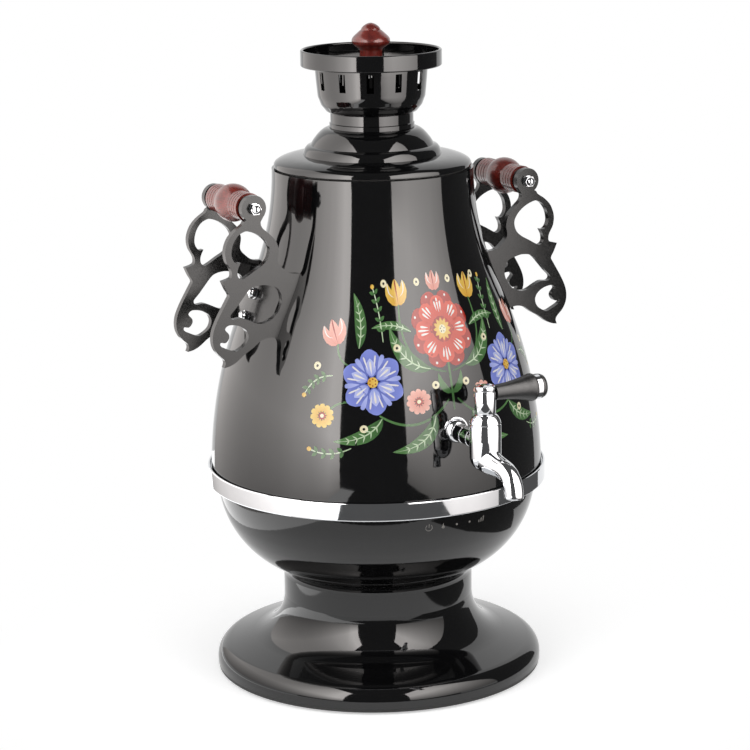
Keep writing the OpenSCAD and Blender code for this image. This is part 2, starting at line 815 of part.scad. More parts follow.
// Barrel with a round bottom that runs out into the spout
module tap_body() color(chrome) difference() {
    union() {
        translate([0, -tap_y, barrel_low_z]) {
            cylinder(h = barrel_top_z - barrel_low_z, r = barrel_r, $fn = 96);
            sphere(r = barrel_r, $fn = 96);
        }
        spout(spout_r);
    }
    translate([0, -tap_y, plug_low_z]) bar(40, plug_r + running_fit);
    translate([0, -tap_y, neck_bore_z]) bar(20, neck_bore_r + 0.02);
    translate([0, -tap_y, spout_z]) bar(20, water_r);
    translate([0, -tap_y, spout_z]) sphere(r = water_r, $fn = small);
    spout(water_r);
    translate([0, -tap_y - spout_run - spout_bend, spout_end_z - 1]) bar(2, water_r);
    forward(tap_y - barrel_r - 8) bar(11.05, shank_r + 0.02);
    forward(tap_y - 12) bar(12, water_r);
}

module tap_bonnet() color(chrome) translate([0, -tap_y, 0]) difference() {
    union() {
        bar(barrel_top_z - neck_bore_z, neck_bore_r, neck_bore_z);
        translate([0, 0, barrel_top_z])
            cylinder(h = bonnet_top_z - barrel_top_z, r1 = barrel_r, r2 = head_r, $fn = 96);
    }
    bar(20, stem_r + running_fit, neck_bore_z - 1);
}

// Plug with an angled water way: in from the side, out at the bottom
module valve_plug() color(brass) translate([0, -tap_y, 0]) difference() {
    union() {
        bar(plug_top_z - plug_low_z - 0.2, plug_r, plug_low_z + 0.2);
        bar(stem_top_z - plug_top_z + 1, stem_r, plug_top_z - 1);
    }
    bar(shank_z - plug_low_z, water_r - 0.5, plug_low_z);
    translate([0, 0, shank_z]) rotate([0, -90, 0]) bar(10, water_r - 0.5);
    translate([0, 0, shank_z]) sphere(r = water_r - 0.5, $fn = small);
}

module plug_seal() color(rubber) translate([0, -tap_y, plug_top_z]) difference() {
    bar(neck_bore_z - plug_top_z - 0.1, plug_r - 0.2);
    bar(5, stem_r + 0.02, -1);
}

module valve_head() color(chrome) translate([0, -tap_y, 0]) difference() {
    translate([0, 0, bonnet_top_z + 0.2])
        cylinder(h = head_top_z - bonnet_top_z - 0.2, r = head_r, $fn = 96);
    bar(stem_top_z - bonnet_top_z + 1, stem_r + 0.02, bonnet_top_z - 1);
    translate([0, 0, lever_z]) rotate([0, 90, 0]) bar(10, lever_tang_r + 0.02, 4.5);
    translate([head_r - 0.6, -6, lever_z - 5.6]) cube([5, 12, 20]);
}

module tap_cap() color(chrome) translate([0, -tap_y, head_top_z]) rotate_extrude($fn = 64) hull() {
    square([5.4, 2.4]);
    square([4.2, 4.4]);
}

module along_lever() {
    translate([0, -tap_y, lever_z]) rotate([0, 90, 0]) children();
}

// Trumpet-shaped lever with a tang that sits in the head
module tap_lever() color(black_plastic) along_lever() {
    start = head_r - 0.5;
    bar(5, lever_tang_r, 4.6);
    rotate_extrude($fn = 64) polygon([
        [0, start], [5.3, start], [5.5, 12], [5.9, 17], [6.7, 23], [7.9, 29], [9.1, 33.5],
        [9.6, 36], [9.3, 37.3], [8.6, ring_x], [0, ring_x]
    ]);
}

module lever_ring() color(chrome) along_lever()
    translate([0, 0, ring_x]) cylinder(h = lever_ring_w, r = 8.7, $fn = 64);

module lever_end() color(black_plastic) along_lever() translate([0, 0, ring_x + lever_ring_w])
    rotate_extrude($fn = 64) polygon([
        [0, 0], [8.2, 0], [8.4, 2], [7.7, 3.8], [5.4, 5.1], [0, lever_l - ring_x - lever_ring_w]
    ]);

// ---------------------------------------------------------------- lid

// Outline of the lid's outside, from the rim to the steam opening, moved inwards by "inset"
function lid_outline(inset) = [
    [lid_r - inset, lid_rim_z], [lid_r - inset, lid_rim_top - 1.5 - inset * 0.4],
    [lid_r - 1.2 - inset * 0.7, lid_rim_top - inset],
    [66.5 - inset * 0.6, 375.4 - inset * 0.9], [62.5 - inset * 0.4, 376.8 - inset],
    [56.5 - inset * 0.2, 378 - inset], [49.4 - inset * 0.3, 378.6 - inset],
    [48.9 - inset, 380.8 - inset * 0.3], [47.9 - inset * 0.9, 383 - inset * 0.5],
    [46.4 - inset * 0.5, 384.6 - inset * 0.9], [44 - inset * 0.4, 385.3 - inset],
    [43.2 - inset, 386.8 - inset * 0.3], [41.6 - inset * 0.9, 389.4 - inset * 0.5],
    [39 - inset * 0.8, 392.6 - inset * 0.6], [36.8 - inset * 0.7, 394.8 - inset * 0.7],
    [34.6 - inset * 0.5, 396.4 - inset * 0.9], [32.4 - inset * 0.1, lid_top_z - 0.2 - inset],
    [30.5, lid_top_z - inset], [steam_r, lid_top_z - inset]
];

module lid_cover() color(lacquer) difference() {
    rotate_extrude($fn = fine) difference() {
        polygon(concat(lid_outline(0), [[0, lid_top_z], [0, lid_rim_z]]));
        polygon(concat(lid_outline(lid_sheet), [
            [steam_r, lid_top_z + 1], [0, lid_top_z + 1],
            [0, lid_rim_z - 1], [lid_r - lid_sheet, lid_rim_z - 1]
        ]));
    }
    around(3, crown_screw_circle, 30) bar(6, 1.7, lid_top_z - 3);
}

// Ring that centres the lid in the tank's mouth and holds the gasket
module lid_liner() color(steel) {
    ring(lid_r - lid_sheet - 0.6, liner_r - 1, liner_z, 0.8);
    ring(liner_r, liner_r - 1, liner_low_z, liner_z - liner_low_z + 0.1);
}

module lid_gasket() color(rubber) {
    seat_z = tank_flange_z + tank_flange_t + 0.1;
    lip_r = tank_flange_r + 1.3;
    ring(lip_r, 62.4, seat_z, liner_z - seat_z);
    ring(lip_r, tank_flange_r + 0.3, tank_flange_z + 0.1, liner_z - tank_flange_z - 0.1);
}

function crown_outline(inset) = [
    [30.3 - inset, crown_base_z], [30.3 - inset, 400.7], [29.6 - inset, 401.2],
    [29.6 - inset, 408 + inset * 0.5], [32.5 - inset, 409.4 + inset * 0.5],
    [36.1 - inset * 0.9, 414 + inset * 0.4], [38.3 - inset, 420], [39 - inset, 427],
    [39.5 - inset, 432.4], [40 - inset, 438.6], [40.1 - inset, dish_z]
];

module crown_cup() color(lacquer) difference() {
    rotate_extrude($fn = fine) difference() {
        polygon(concat([[dish_hole_r - 3, crown_base_z]], crown_outline(0), [[dish_hole_r, dish_z]]));
        polygon(concat([[0, crown_base_z + crown_wall], [30.3 - crown_wall, crown_base_z + crown_wall]],
            [for (i = [1 : 9]) crown_outline(crown_wall)[i]],
            [[40 - crown_wall, dish_z - crown_wall], [0, dish_z - crown_wall]]));
        square([dish_hole_r, 500]);
    }
    around(slot_count, 33) translate([0, -slot_w / 2, slot_low_z])
        cube([12, slot_w, slot_top_z - slot_low_z]);
    around(3, screw_circle, 0) bar(6, 1.55, dish_z - 3);
    around(3, crown_screw_circle, 30) bar(4, 1.7, crown_base_z - 1);
}

// Screws that hold the crown on the lid, from below
module crown_screws() color(steel) around(3, crown_screw_circle, 30) {
    bar(1.7, 3, lid_top_z - lid_sheet - 1.8);
    bar(5, 1.5, lid_top_z - lid_sheet - 0.2);
}

// Dish with a raised ring that carries the teapot; the knob's plate lies in the middle
module crown_dish() color(lacquer) difference() {
    rotate_extrude($fn = fine) {
        translate([dish_hole_r, dish_z]) square([dish_r - 1.2 - dish_hole_r, dish_floor_t]);
        translate([seat_in, dish_z]) square([dish_r - 1.2 - seat_in, dish_floor_t + seat_h]);
        hull() {
            translate([dish_r - 1.1, dish_z + 1.1]) circle(r = 1.1, $fn = 24);
            translate([dish_r - 1.1, dish_top_z - 1.1]) circle(r = 1.1, $fn = 24);
        }
    }
    around(3, screw_circle, 0) bar(5, 1.55, dish_z - 1);
    around(3, screw_circle, 0) bar(1.21, 1.55, dish_z + dish_floor_t - 1.2, 2.9);
}

module dish_screws() color(steel) around(3, screw_circle, 0) {
    bar(6 + dish_floor_t - 0.1, 1.5, dish_z - 6);
    bar(1.05, 1.5, dish_z + dish_floor_t - 1.15, 2.7);
}

module cap_plate() color(lacquer) difference() {
    union() {
        translate([0, 0, cap_z]) cylinder(h = cap_t, r = cap_r, $fn = fine);
        ring(cap_skirt_r, cap_skirt_r - 1, cap_z - cap_skirt_h, cap_skirt_h);
    }
    bar(4, 2.1, cap_z - 1);
}

module knob() color(wood) difference() {
    rotate_extrude($fn = 96) {
        base = cap_z + cap_t;
        belly_x = collar_r - 1;
        belly_low = 5.6;
        belly_high = 9;
        polygon(concat(
            [[0, base], [9.4, base], [9.9, base + 0.8], [9.4, base + 1.6], [collar_r, base + 2.2]],
            [[collar_r, knob_wide_z - belly_low]],
            [for (a = [-66 : 12 : 78]) [
                belly_x + (knob_r - belly_x) * cos(a),
                knob_wide_z + (a < 0 ? belly_low : belly_high) * sin(a)
            ]],
            [[7.4, knob_step_z - 0.1]],
            [for (a = [0 : 18 : 90]) [7 * cos(a), knob_step_z + (knob_top_z - knob_step_z) * sin(a)]]
        ));
    }
    bar(15, 2.02, cap_z);
}

module knob_screw() color(steel) {
    bar(2, 4, cap_z - 2.8);
    bar(15, 2, cap_z - 1);
}

module knob_washer() color(steel) translate([0, 0, cap_z - 0.8]) difference() {
    bar(0.8, 6);
    bar(3, 2.05, -1);
}

// ---------------------------------------------------------------- pieces

base_plate();
rubber_feet();
base_plate_screws();
base_skirt();
pedestal_ring();
lower_bowl();
tie_rods();
tie_rod_nuts();
chrome_band();
body_shell();
inner_tank();
heater_plate();
heater_element();
heater_terminals();
thermostat();
thermal_fuse();
heater_leads();
power_board();
board_spacers();
board_screws();
touch_board();
light_guide();
indicator_leds();
ribbon_cable();
power_inlet();
inlet_pins();
inlet_screws();
inlet_leads();
left_bracket();
right_bracket();
left_grip();
right_grip();
grip_bolts();
grip_nuts();
handle_bolts();
handle_nuts();
tap_escutcheon();
tap_shank();
shank_gaskets();
shank_nut();
tap_body();
tap_bonnet();
valve_plug();
plug_seal();
valve_head();
tap_cap();
tap_lever();
lever_ring();
lever_end();
lid_cover();
lid_liner();
lid_gasket();
crown_cup();
crown_screws();
crown_dish();
dish_screws();
cap_plate();
knob();
knob_screw();
knob_washer();
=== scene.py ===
import json
import math

import bmesh
import bpy
from mathutils import Matrix, Vector


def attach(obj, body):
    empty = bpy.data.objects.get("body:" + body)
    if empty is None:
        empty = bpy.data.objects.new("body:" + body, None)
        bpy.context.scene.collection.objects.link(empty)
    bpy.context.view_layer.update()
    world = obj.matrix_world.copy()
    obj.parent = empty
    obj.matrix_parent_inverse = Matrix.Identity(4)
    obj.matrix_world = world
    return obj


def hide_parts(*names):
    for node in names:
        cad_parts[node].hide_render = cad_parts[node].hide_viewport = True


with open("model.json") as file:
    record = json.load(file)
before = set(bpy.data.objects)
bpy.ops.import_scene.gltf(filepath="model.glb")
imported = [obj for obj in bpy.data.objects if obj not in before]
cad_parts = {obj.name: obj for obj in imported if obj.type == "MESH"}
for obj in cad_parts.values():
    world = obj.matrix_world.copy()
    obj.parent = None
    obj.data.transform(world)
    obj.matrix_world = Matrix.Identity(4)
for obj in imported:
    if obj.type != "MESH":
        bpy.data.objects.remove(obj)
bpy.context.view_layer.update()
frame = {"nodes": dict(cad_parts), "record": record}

MM = 0.001


# ---------------------------------------------------------------- camera

CAMERA_SENSOR = 36  # mm
CAMERA_LENS = 125.86  # mm
CAMERA_PLACE = (-0.8902, -1.6236, 0.6538)
CAMERA_PITCH = 11.679  # degrees below the horizon
CAMERA_HEADING = -29.642  # degrees from +Y, negative is clockwise seen from above
CAMERA_ROLL = -0.588  # degrees about the line of sight
CAMERA_SHIFT = (-0.0533, -0.1)  # shares of the sensor's width


def add_camera():
    turn = (
        Matrix.Rotation(math.radians(CAMERA_HEADING), 3, "Z")
        @ Matrix.Rotation(math.radians(90 - CAMERA_PITCH), 3, "X")
        @ Matrix.Rotation(math.radians(CAMERA_ROLL), 3, "Z")
    )
    bpy.ops.object.camera_add(location=CAMERA_PLACE, rotation=turn.to_euler())
    camera = bpy.context.object
    camera.data.sensor_width = CAMERA_SENSOR
    camera.data.lens = CAMERA_LENS
    camera.data.shift_x, camera.data.shift_y = CAMERA_SHIFT
    bpy.context.scene.camera = camera


# ---------------------------------------------------------------- shader helpers

NOISE_SPAN = (0.3, 0.7)  # where nearly all of a noise lies


def srgb(code):
    """The linear colour of an sRGB hex value."""
    parts = [int(code[i : i + 2], 16) / 255 for i in (1, 3, 5)]
    return [c / 12.92 if c <= 0.04045 else ((c + 0.055) / 1.055) ** 2.4 for c in parts] + [1]


def add(tree, kind, inputs=None, **settings):
    """Adds a shader node with its settings, and sets or links its inputs."""
    made = tree.nodes.new("ShaderNode" + kind)
    for key, value in settings.items():
        setattr(made, key, value)
    for key, value in (inputs or {}).items():
        if isinstance(value, bpy.types.NodeSocket):
            tree.links.new(value, made.inputs[key])
        else:
            made.inputs[key].default_value = value
    return made


def bare_material(name):
    """A material whose node tree is still empty."""
    made = bpy.data.materials.new(name)
    made.use_nodes = True
    made.node_tree.nodes.clear()
    return made, made.node_tree


def finish_of(name, **sockets):
    """A material with one Principled shader, and the shader's constant sockets set by name."""
    made = bpy.data.materials.new(name)
    made.use_nodes = True
    shader = made.node_tree.nodes["Principled BSDF"]
    for key, value in sockets.items():
        shader.inputs[key.replace("_", " ")].default_value = value
    return made, made.node_tree, shader


def object_noise(tree, size, stretch=(1, 1, 1), detail=2.0):
    """Noise whose patches are about size metres across, drawn out along an axis where stretch is below 1."""
    place = add(tree, "TexCoord").outputs["Object"]
    if stretch != (1, 1, 1):
        place = add(tree, "Mapping", {"Vector": place, "Scale": stretch}).outputs["Vector"]
    return add(tree, "TexNoise", {"Vector": place, "Scale": 1 / size, "Detail": detail}).outputs["Fac"]


def vary(tree, value, low, high):
    """Spreads a pattern over low to high."""
    least, most = NOISE_SPAN
    spread = {"Value": value, "From Min": least, "From Max": most, "To Min": low, "To Max": high}
    return add(tree, "MapRange", spread).outputs["Result"]


def blend_colours(tree, share, first, second):
    """A mix of two sRGB colours, or of a socket and a colour."""
    ends = [c if isinstance(c, bpy.types.NodeSocket) else srgb(c) for c in (first, second)]
    mixed = add(tree, "Mix", {0: share, 6: ends[0], 7: ends[1]}, data_type="RGBA")
    return mixed.outputs[2]


def set_bump(tree, shader, height, depth):
    """Bump of the given real depth in metres."""
    bump = add(tree, "Bump", {"Height": height, "Distance": depth, "Strength": 1.0})
    tree.links.new(bump.outputs["Normal"], shader.inputs["Normal"])


def feed(tree, shader, **sockets):
    """Links patterns to the shader's sockets by name."""
    for key, value in sockets.items():
        tree.links.new(value, shader.inputs[key.replace("_", " ")])


# ---------------------------------------------------------------- finishes


def stoved_black_lacquer():
    # Sprayed and stoved on spun steel: a deep wet gloss, with orange peel about 4 mm across that
    # makes the reflections of straight edges waver slightly
    made, tree, shader = finish_of("stoved_black_lacquer", IOR=1.57)
    feed(tree, shader, Base_Color=blend_colours(tree, object_noise(tree, 12 * MM), "#080809", "#0d0d0e"))
    feed(tree, shader, Roughness=vary(tree, object_noise(tree, 9 * MM), 0.035, 0.06))
    set_bump(tree, shader, object_noise(tree, 4 * MM), 0.004 * MM)
    return made


def moulded_gloss_abs():
    # Injection-moulded in a polished tool: as dark as the lacquer, with long shallow waves
    made, tree, shader = finish_of("moulded_gloss_abs", IOR=1.54)
    feed(tree, shader, Base_Color=blend_colours(tree, object_noise(tree, 20 * MM), "#090909", "#0e0e0f"))
    feed(tree, shader, Roughness=vary(tree, object_noise(tree, 14 * MM), 0.05, 0.08))
    set_bump(tree, shader, object_noise(tree, 16 * MM, detail=1.0), 0.006 * MM)
    return made


def textured_abs():
    # Moulded in a spark-eroded tool: an even dull grain of 0.5 mm
    made, tree, shader = finish_of("textured_abs", IOR=1.53)
    grain = object_noise(tree, 0.5 * MM)
    feed(tree, shader, Base_Color=blend_colours(tree, grain, "#121212", "#1b1b1b"))
    feed(tree, shader, Roughness=vary(tree, grain, 0.42, 0.58))
    set_bump(tree, shader, grain, 0.02 * MM)
    return made


def matt_phenolic():
    # Compression-moulded phenolic of the lever: soft sheen, fine grain that dulls the highlight
    made, tree, shader = finish_of("matt_phenolic", IOR=1.6)
    feed(tree, shader, Base_Color=blend_colours(tree, object_noise(tree, 3 * MM), "#101010", "#181818"))
    feed(tree, shader, Roughness=vary(tree, object_noise(tree, 1.5 * MM), 0.3, 0.4))
    set_bump(tree, shader, object_noise(tree, 0.8 * MM), 0.006 * MM)
    return made


def moulded_rubber():
    # Pressed nitrile rubber: dull, with a little bloom in patches
    made, tree, shader = finish_of("moulded_rubber", IOR=1.52)
    feed(tree, shader, Base_Color=blend_colours(tree, object_noise(tree, 6 * MM), "#161616", "#232323"))
    feed(tree, shader, Roughness=vary(tree, object_noise(tree, 2 * MM), 0.7, 0.9))
    set_bump(tree, shader, object_noise(tree, 0.6 * MM), 0.02 * MM)
    return made


def zinc_plated_steel():
    # Bright zinc over rolled steel: cool grey with cloudy passivation
    made, tree, shader = finish_of("zinc_plated_steel", Metallic=1.0)
    feed(tree, shader, Base_Color=blend_colours(tree, object_noise(tree, 2 * MM), "#b4b8bd", "#d2d3cf"))
    feed(tree, shader, Roughness=vary(tree, object_noise(tree, 1.5 * MM), 0.22, 0.38))
    return made


def polished_chrome():
    # Bright chromium over polished brass: a mirror whose faint buffing waves blur far edges
    made, tree, shader = finish_of("polished_chrome", Metallic=1.0)
    feed(tree, shader, Base_Color=blend_colours(tree, object_noise(tree, 10 * MM), "#d2d4d7", "#dcdddf"))
    feed(tree, shader, Roughness=vary(tree, object_noise(tree, 5 * MM), 0.03, 0.06))
    set_bump(tree, shader, object_noise(tree, 3 * MM), 0.002 * MM)
    return made


def turned_stainless():
    # Spun and scoured stainless sheet: a soft satin drawn out round the axis
    made, tree, shader = finish_of("turned_stainless", Metallic=1.0)
    lines = object_noise(tree, 0.4 * MM, stretch=(0.05, 0.05, 1))
    feed(tree, shader, Base_Color=blend_colours(tree, lines, "#b3b0ab", "#cac8c4"))
    feed(tree, shader, Roughness=vary(tree, lines, 0.2, 0.34))
    return made


def cast_aluminium():
    # Die-cast plate: pale grey with a sandy skin
    made, tree, shader = finish_of("cast_aluminium", Metallic=1.0)
    skin = object_noise(tree, 0.8 * MM)
    feed(tree, shader, Base_Color=blend_colours(tree, skin, "#b5b7ba", "#cfd0d2"))
    feed(tree, shader, Roughness=vary(tree, skin, 0.4, 0.55))
    set_bump(tree, shader, skin, 0.02 * MM)
    return made


def satin_powder_coat():
    # Powder coat on die-cast brackets: a soft-edged gloss that the casting's shallow waves break up
    made, tree, shader = finish_of("satin_powder_coat", IOR=1.55)
    feed(tree, shader, Base_Color=blend_colours(tree, object_noise(tree, 5 * MM), "#121212", "#181818"))
    feed(tree, shader, Roughness=vary(tree, object_noise(tree, 1.5 * MM), 0.16, 0.24))
    set_bump(tree, shader, object_noise(tree, 7 * MM, detail=1.0), 0.03 * MM)
    return made


def stained_beech(name, grain):
    # Turned beech, stained red-brown and lacquered: fine grain lines along the turning axis and
    # small darker flecks under a clear gloss
    made, tree, shader = finish_of(name, IOR=1.5, Coat_Weight=0.45, Coat_Roughness=0.1, Roughness=0.32)
    lines = object_noise(tree, 0.9 * MM, stretch=grain, detail=4.0)
    tone = object_noise(tree, 9 * MM, stretch=grain)
    stain = blend_colours(tree, vary(tree, tone, 0, 1), "#64140e", "#8c2a1c")
    feed(tree, shader, Base_Color=blend_colours(tree, vary(tree, lines, 0, 0.55), stain, "#350d08"))
    set_bump(tree, shader, lines, 0.01 * MM)
    return made


def blackened_steel():
    # Oil-blackened machined steel: dark, with a dull metallic glint
    made, tree, shader = finish_of("blackened_steel", Metallic=1.0)
    feed(tree, shader, Base_Color=blend_colours(tree, object_noise(tree, 2 * MM), "#2b2a29", "#3d3b39"))
    feed(tree, shader, Roughness=vary(tree, object_noise(tree, 1 * MM), 0.32, 0.48))
    return made


def machined_brass():
    # Bar-turned brass, uncoated: warm yellow with slight tarnish
    made, tree, shader = finish_of("machined_brass", Metallic=1.0)
    feed(tree, shader, Base_Color=blend_colours(tree, object_noise(tree, 3 * MM), "#b08a45", "#d3b068"))
    feed(tree, shader, Roughness=vary(tree, object_noise(tree, 1.2 * MM), 0.2, 0.36))
    return made


def printed_board():
    # Glass-epoxy board under green solder mask: blotchy where copper runs below
    made, tree, shader = finish_of("printed_board", IOR=1.55)
    copper = add(tree, "TexVoronoi", {"Scale": 1 / (4 * MM)}, distance="MANHATTAN").outputs["Distance"]
    feed(tree, shader, Base_Color=blend_colours(tree, copper, "#0f4a2a", "#1d6a3c"))
    feed(tree, shader, Roughness=vary(tree, object_noise(tree, 2 * MM), 0.3, 0.45))
    return made


def clear_polycarbonate():
    # Moulded light guide: clear, slightly cloudy so that the lamps behind it spread
    made, tree, shader = finish_of("clear_polycarbonate", IOR=1.585, Transmission_Weight=0.9)
    feed(tree, shader, Base_Color=blend_colours(tree, object_noise(tree, 5 * MM), "#e6eaec", "#f4f6f6"))
    feed(tree, shader, Roughness=vary(tree, object_noise(tree, 3 * MM), 0.12, 0.25))
    return made


def silicone_wire():
    # Silicone insulation: warm white with a waxy sheen
    made, tree, shader = finish_of("silicone_wire", IOR=1.45)
    feed(tree, shader, Base_Color=blend_colours(tree, object_noise(tree, 4 * MM), "#c9c5bb", "#dcd9d0"))
    feed(tree, shader, Roughness=vary(tree, object_noise(tree, 2 * MM), 0.4, 0.55))
    return made


# ---------------------------------------------------------------- materials on the assembly

SLOT_OF = {part["node"]: part["material_slot"] for part in frame["record"]["subparts"]}
SLOT_FINISHES = {
    "black_lacquer": stoved_black_lacquer(),
    "gloss_black_plastic": moulded_gloss_abs(),
    "black_plastic": textured_abs(),
    "rubber": moulded_rubber(),
    "zinc_steel": zinc_plated_steel(),
    "chrome": polished_chrome(),
    "stainless": turned_stainless(),
    "aluminium": cast_aluminium(),
    "satin_black_paint": satin_powder_coat(),
    "lacquered_wood": stained_beech("stained_beech", (1, 0.06, 1)),
    "matt_black_plastic": matt_phenolic(),
    "dark_steel": blackened_steel(),
    "brass": machined_brass(),
    "board": printed_board(),
    "clear_plastic": clear_polycarbonate(),
    "wire": silicone_wire(),
}
KNOB_WOOD = stained_beech("stained_beech_knob", (1, 1, 0.06))


def dress_assembly():
    """Gives every node its slot's finish. The knob's grain runs up, and the grips' along them."""
    for name, obj in frame["nodes"].items():
        obj.data.materials.clear()
        obj.data.materials.append(KNOB_WOOD if name == "knob" else SLOT_FINISHES[SLOT_OF[name]])


# ---------------------------------------------------------------- studio

# The set stands square to the camera: x to the right of the view, y away from it, in metres
SET_TURN = math.radians(-28.7)
PANEL_X = (-0.30, 0.32)
PANEL_FOOT = 0.04
PANEL_TOP = 0.9
PANEL_TINT = "#fffaf7"  # faintly warm
# Radiance along each panel: (y, level)
LEFT_LIGHT = [
    (-0.70, 7.6), (-0.53, 7.8), (-0.37, 5.6), (-0.26, 4.6), (-0.185, 3.6), (-0.12, 3.0),
    (-0.065, 2.6), (0.0, 2.3), (0.12, 2.0), (0.35, 1.6),
]
RIGHT_LIGHT = [(-0.90, 6.0), (-0.45, 6.3), (-0.30, 5.6), (-0.20, 4.8), (-0.14, 4.0), (-0.087, 3.2)]
# How bright a panel's lower end is, and the share of its height at which it is fully bright
LEFT_LOW = (0.3, 0.22)
RIGHT_LOW = (0.2, 0.45)
FLAG_BACK = 0.24  # the black flag carries the right panel on to here
ROOM_LOW = (-1.5, -1.0, -0.1)
ROOM_HIGH = (1.5, 1.0, 2.0)
DARK_ROOM = 0.1  # radiance of the black cards
# Cards on the floor: height, then near left and far right corners
FELT_Z = 0.002
FRONT_FELT = ((-0.28, -1.0), (0.62, -0.36))
RIGHT_FELT = ((0.21, -0.32), (0.62, 0.1))
PAPER_Z = 0.003
LIT_PAPER = ((-1.4, -0.95), (-0.24, 0.6))
FLOOR_BOUNCE = 2.3  # radiance of the lit paper
# Soft lamps: name, azimuth from -Y towards +X and elevation in degrees, radiance
SOFTBOXES = [("left_key", -75, 28, 2.4), ("right_key", 25, 28, 2.0), ("top_fill", -28, 75, 0.9)]
SOFTBOX_SIDE = 1.1
SOFTBOX_DISTANCE = 1.7
SOFTBOX_AIM = (0, 0, 0.22)  # about the object's middle
FILL_LEVEL = 0.45  # the background as a light
FLOOR_RADIUS = 12
FLOOR_SIDES = 96
FLOOR_FADE = (0.13, 0.3)  # from the axis, where the paper starts to fade and where it is all backdrop
FLOOR_LIFT = 0.5  # how much the paper glows for the rays that see it
PAPER_GREY = "#e9e9e9"


def emitter(name, light, colour="#ffffff"):
    """An emitting material. light adds nodes and gives the strength's socket, or is a number."""
    made, tree = bare_material(name)
    level = light(tree) if callable(light) else light
    glow = add(tree, "Emission", {"Color": srgb(colour), "Strength": level})
    add(tree, "OutputMaterial", {"Surface": glow.outputs["Emission"]})
    return made


def panel_light(stops, low):
    """Strength along a panel by its own UV map, weaker towards its lower end."""
    first, last = stops[0][0], stops[-1][0]
    top = max(level for _, level in stops)

    def light(tree):
        place = add(tree, "SeparateXYZ", {0: add(tree, "TexCoord").outputs["UV"]}).outputs
        ramp = add(tree, "ValToRGB", {"Fac": place["Y"]})
        points = ramp.color_ramp.elements
        for i, (y, level) in enumerate(stops):
            share = (y - first) / (last - first)
            point = points[i] if i < 2 else points.new(share)
            point.position = share
            point.color = [level / top] * 3 + [1]
        rise = {"Value": place["X"], "From Max": low[1], "To Min": low[0] * top, "To Max": top}
        height = add(tree, "MapRange", rise).outputs["Result"]
        return add(tree, "Math", {0: ramp.outputs["Color"], 1: height}, operation="MULTIPLY").outputs[0]

    return light


def set_card(name, low, high, material):
    """A flat card between two corners on the set, seen only in reflections.

    The UV map of a standing card runs up, then along.
    """
    low, high = Vector(low), Vector(high)
    turn = Matrix.Rotation(SET_TURN, 3, "Z")
    bpy.ops.mesh.primitive_plane_add(size=1)
    card = bpy.context.object
    card.name = name
    spans = [axis for axis in (2, 0, 1) if low[axis] != high[axis]]
    for vert in card.data.vertices:
        corner = low.copy()
        for axis, place in zip(spans, vert.co):
            corner[axis] = high[axis] if place > 0 else low[axis]
        vert.co = turn @ corner
    card.data.materials.append(material)
    card.visible_camera = False
    card.visible_diffuse = False
    card.visible_shadow = False


def set_floor_card(name, corners, height, material):
    low, high = [(x, y, height) for x, y in corners]
    set_card(name, low, high, material)


def add_cards():
    left, right = PANEL_X
    foot, top = PANEL_FOOT, PANEL_TOP
    black = emitter("black_felt", DARK_ROOM)
    left_light = emitter("left_light", panel_light(LEFT_LIGHT, LEFT_LOW), PANEL_TINT)
    right_light = emitter("right_light", panel_light(RIGHT_LIGHT, RIGHT_LOW), PANEL_TINT)
    right_end = RIGHT_LIGHT[-1][0]
    set_card("left_panel", (left, LEFT_LIGHT[0][0], foot), (left, LEFT_LIGHT[-1][0], top), left_light)
    set_card("right_panel", (right, RIGHT_LIGHT[0][0], foot), (right, right_end, top), right_light)
    set_card("right_flag", (right, right_end, 0), (right, FLAG_BACK, top), black)
    room_left, room_front, _ = ROOM_LOW
    room_right, _, room_top = ROOM_HIGH
    set_card("dark_room", ROOM_LOW, (room_right, room_front, room_top), black)
    set_floor_card("dark_front_floor", FRONT_FELT, FELT_Z, black)
    set_floor_card("dark_right_floor", RIGHT_FELT, FELT_Z, black)
    set_floor_card("floor_bounce", LIT_PAPER, PAPER_Z, emitter("lit_paper", FLOOR_BOUNCE))
    set_card("dark_ceiling", (room_left, room_front, room_top), ROOM_HIGH, black)


def add_softbox(name, azimuth, elevation, radiance):
    """A soft lamp that faces the object's middle. Its radiance is power / (pi * area)."""
    turn, rise = math.radians(azimuth - 90), math.radians(elevation)
    way = Vector((math.cos(turn) * math.cos(rise), math.sin(turn) * math.cos(rise), math.sin(rise)))
    place = Vector(SOFTBOX_AIM) + SOFTBOX_DISTANCE * way
    bpy.ops.object.light_add(type="AREA", location=place, rotation=way.to_track_quat("Z", "Y").to_euler())
    lamp = bpy.context.object
    lamp.name = name
    lamp.data.size = SOFTBOX_SIDE
    lamp.data.energy = radiance * math.pi * SOFTBOX_SIDE**2
    lamp.visible_camera = False
    lamp.visible_glossy = False


def seen_rays(tree):
    """1 for camera, glossy and transmission rays, which see the white background, and 0 for the rest."""
    rays = add(tree, "LightPath").outputs
    seen = add(tree, "Math", {0: rays["Is Camera Ray"], 1: rays["Is Glossy Ray"]}, operation="MAXIMUM")
    both = {0: seen.outputs[0], 1: rays["Is Transmission Ray"]}
    return add(tree, "Math", both, operation="MAXIMUM").outputs[0]


def add_world():
    world = bpy.data.worlds.new("studio")
    bpy.context.scene.world = world
    world.use_nodes = True
    tree = world.node_tree
    tree.nodes.clear()
    level = add(tree, "MapRange", {"Value": seen_rays(tree), "To Min": FILL_LEVEL, "To Max": 1.0})
    sky = add(tree, "Background", {"Color": (1, 1, 1, 1), "Strength": level.outputs["Result"]})
    add(tree, "OutputWorld", {"Surface": sky.outputs["Background"]})


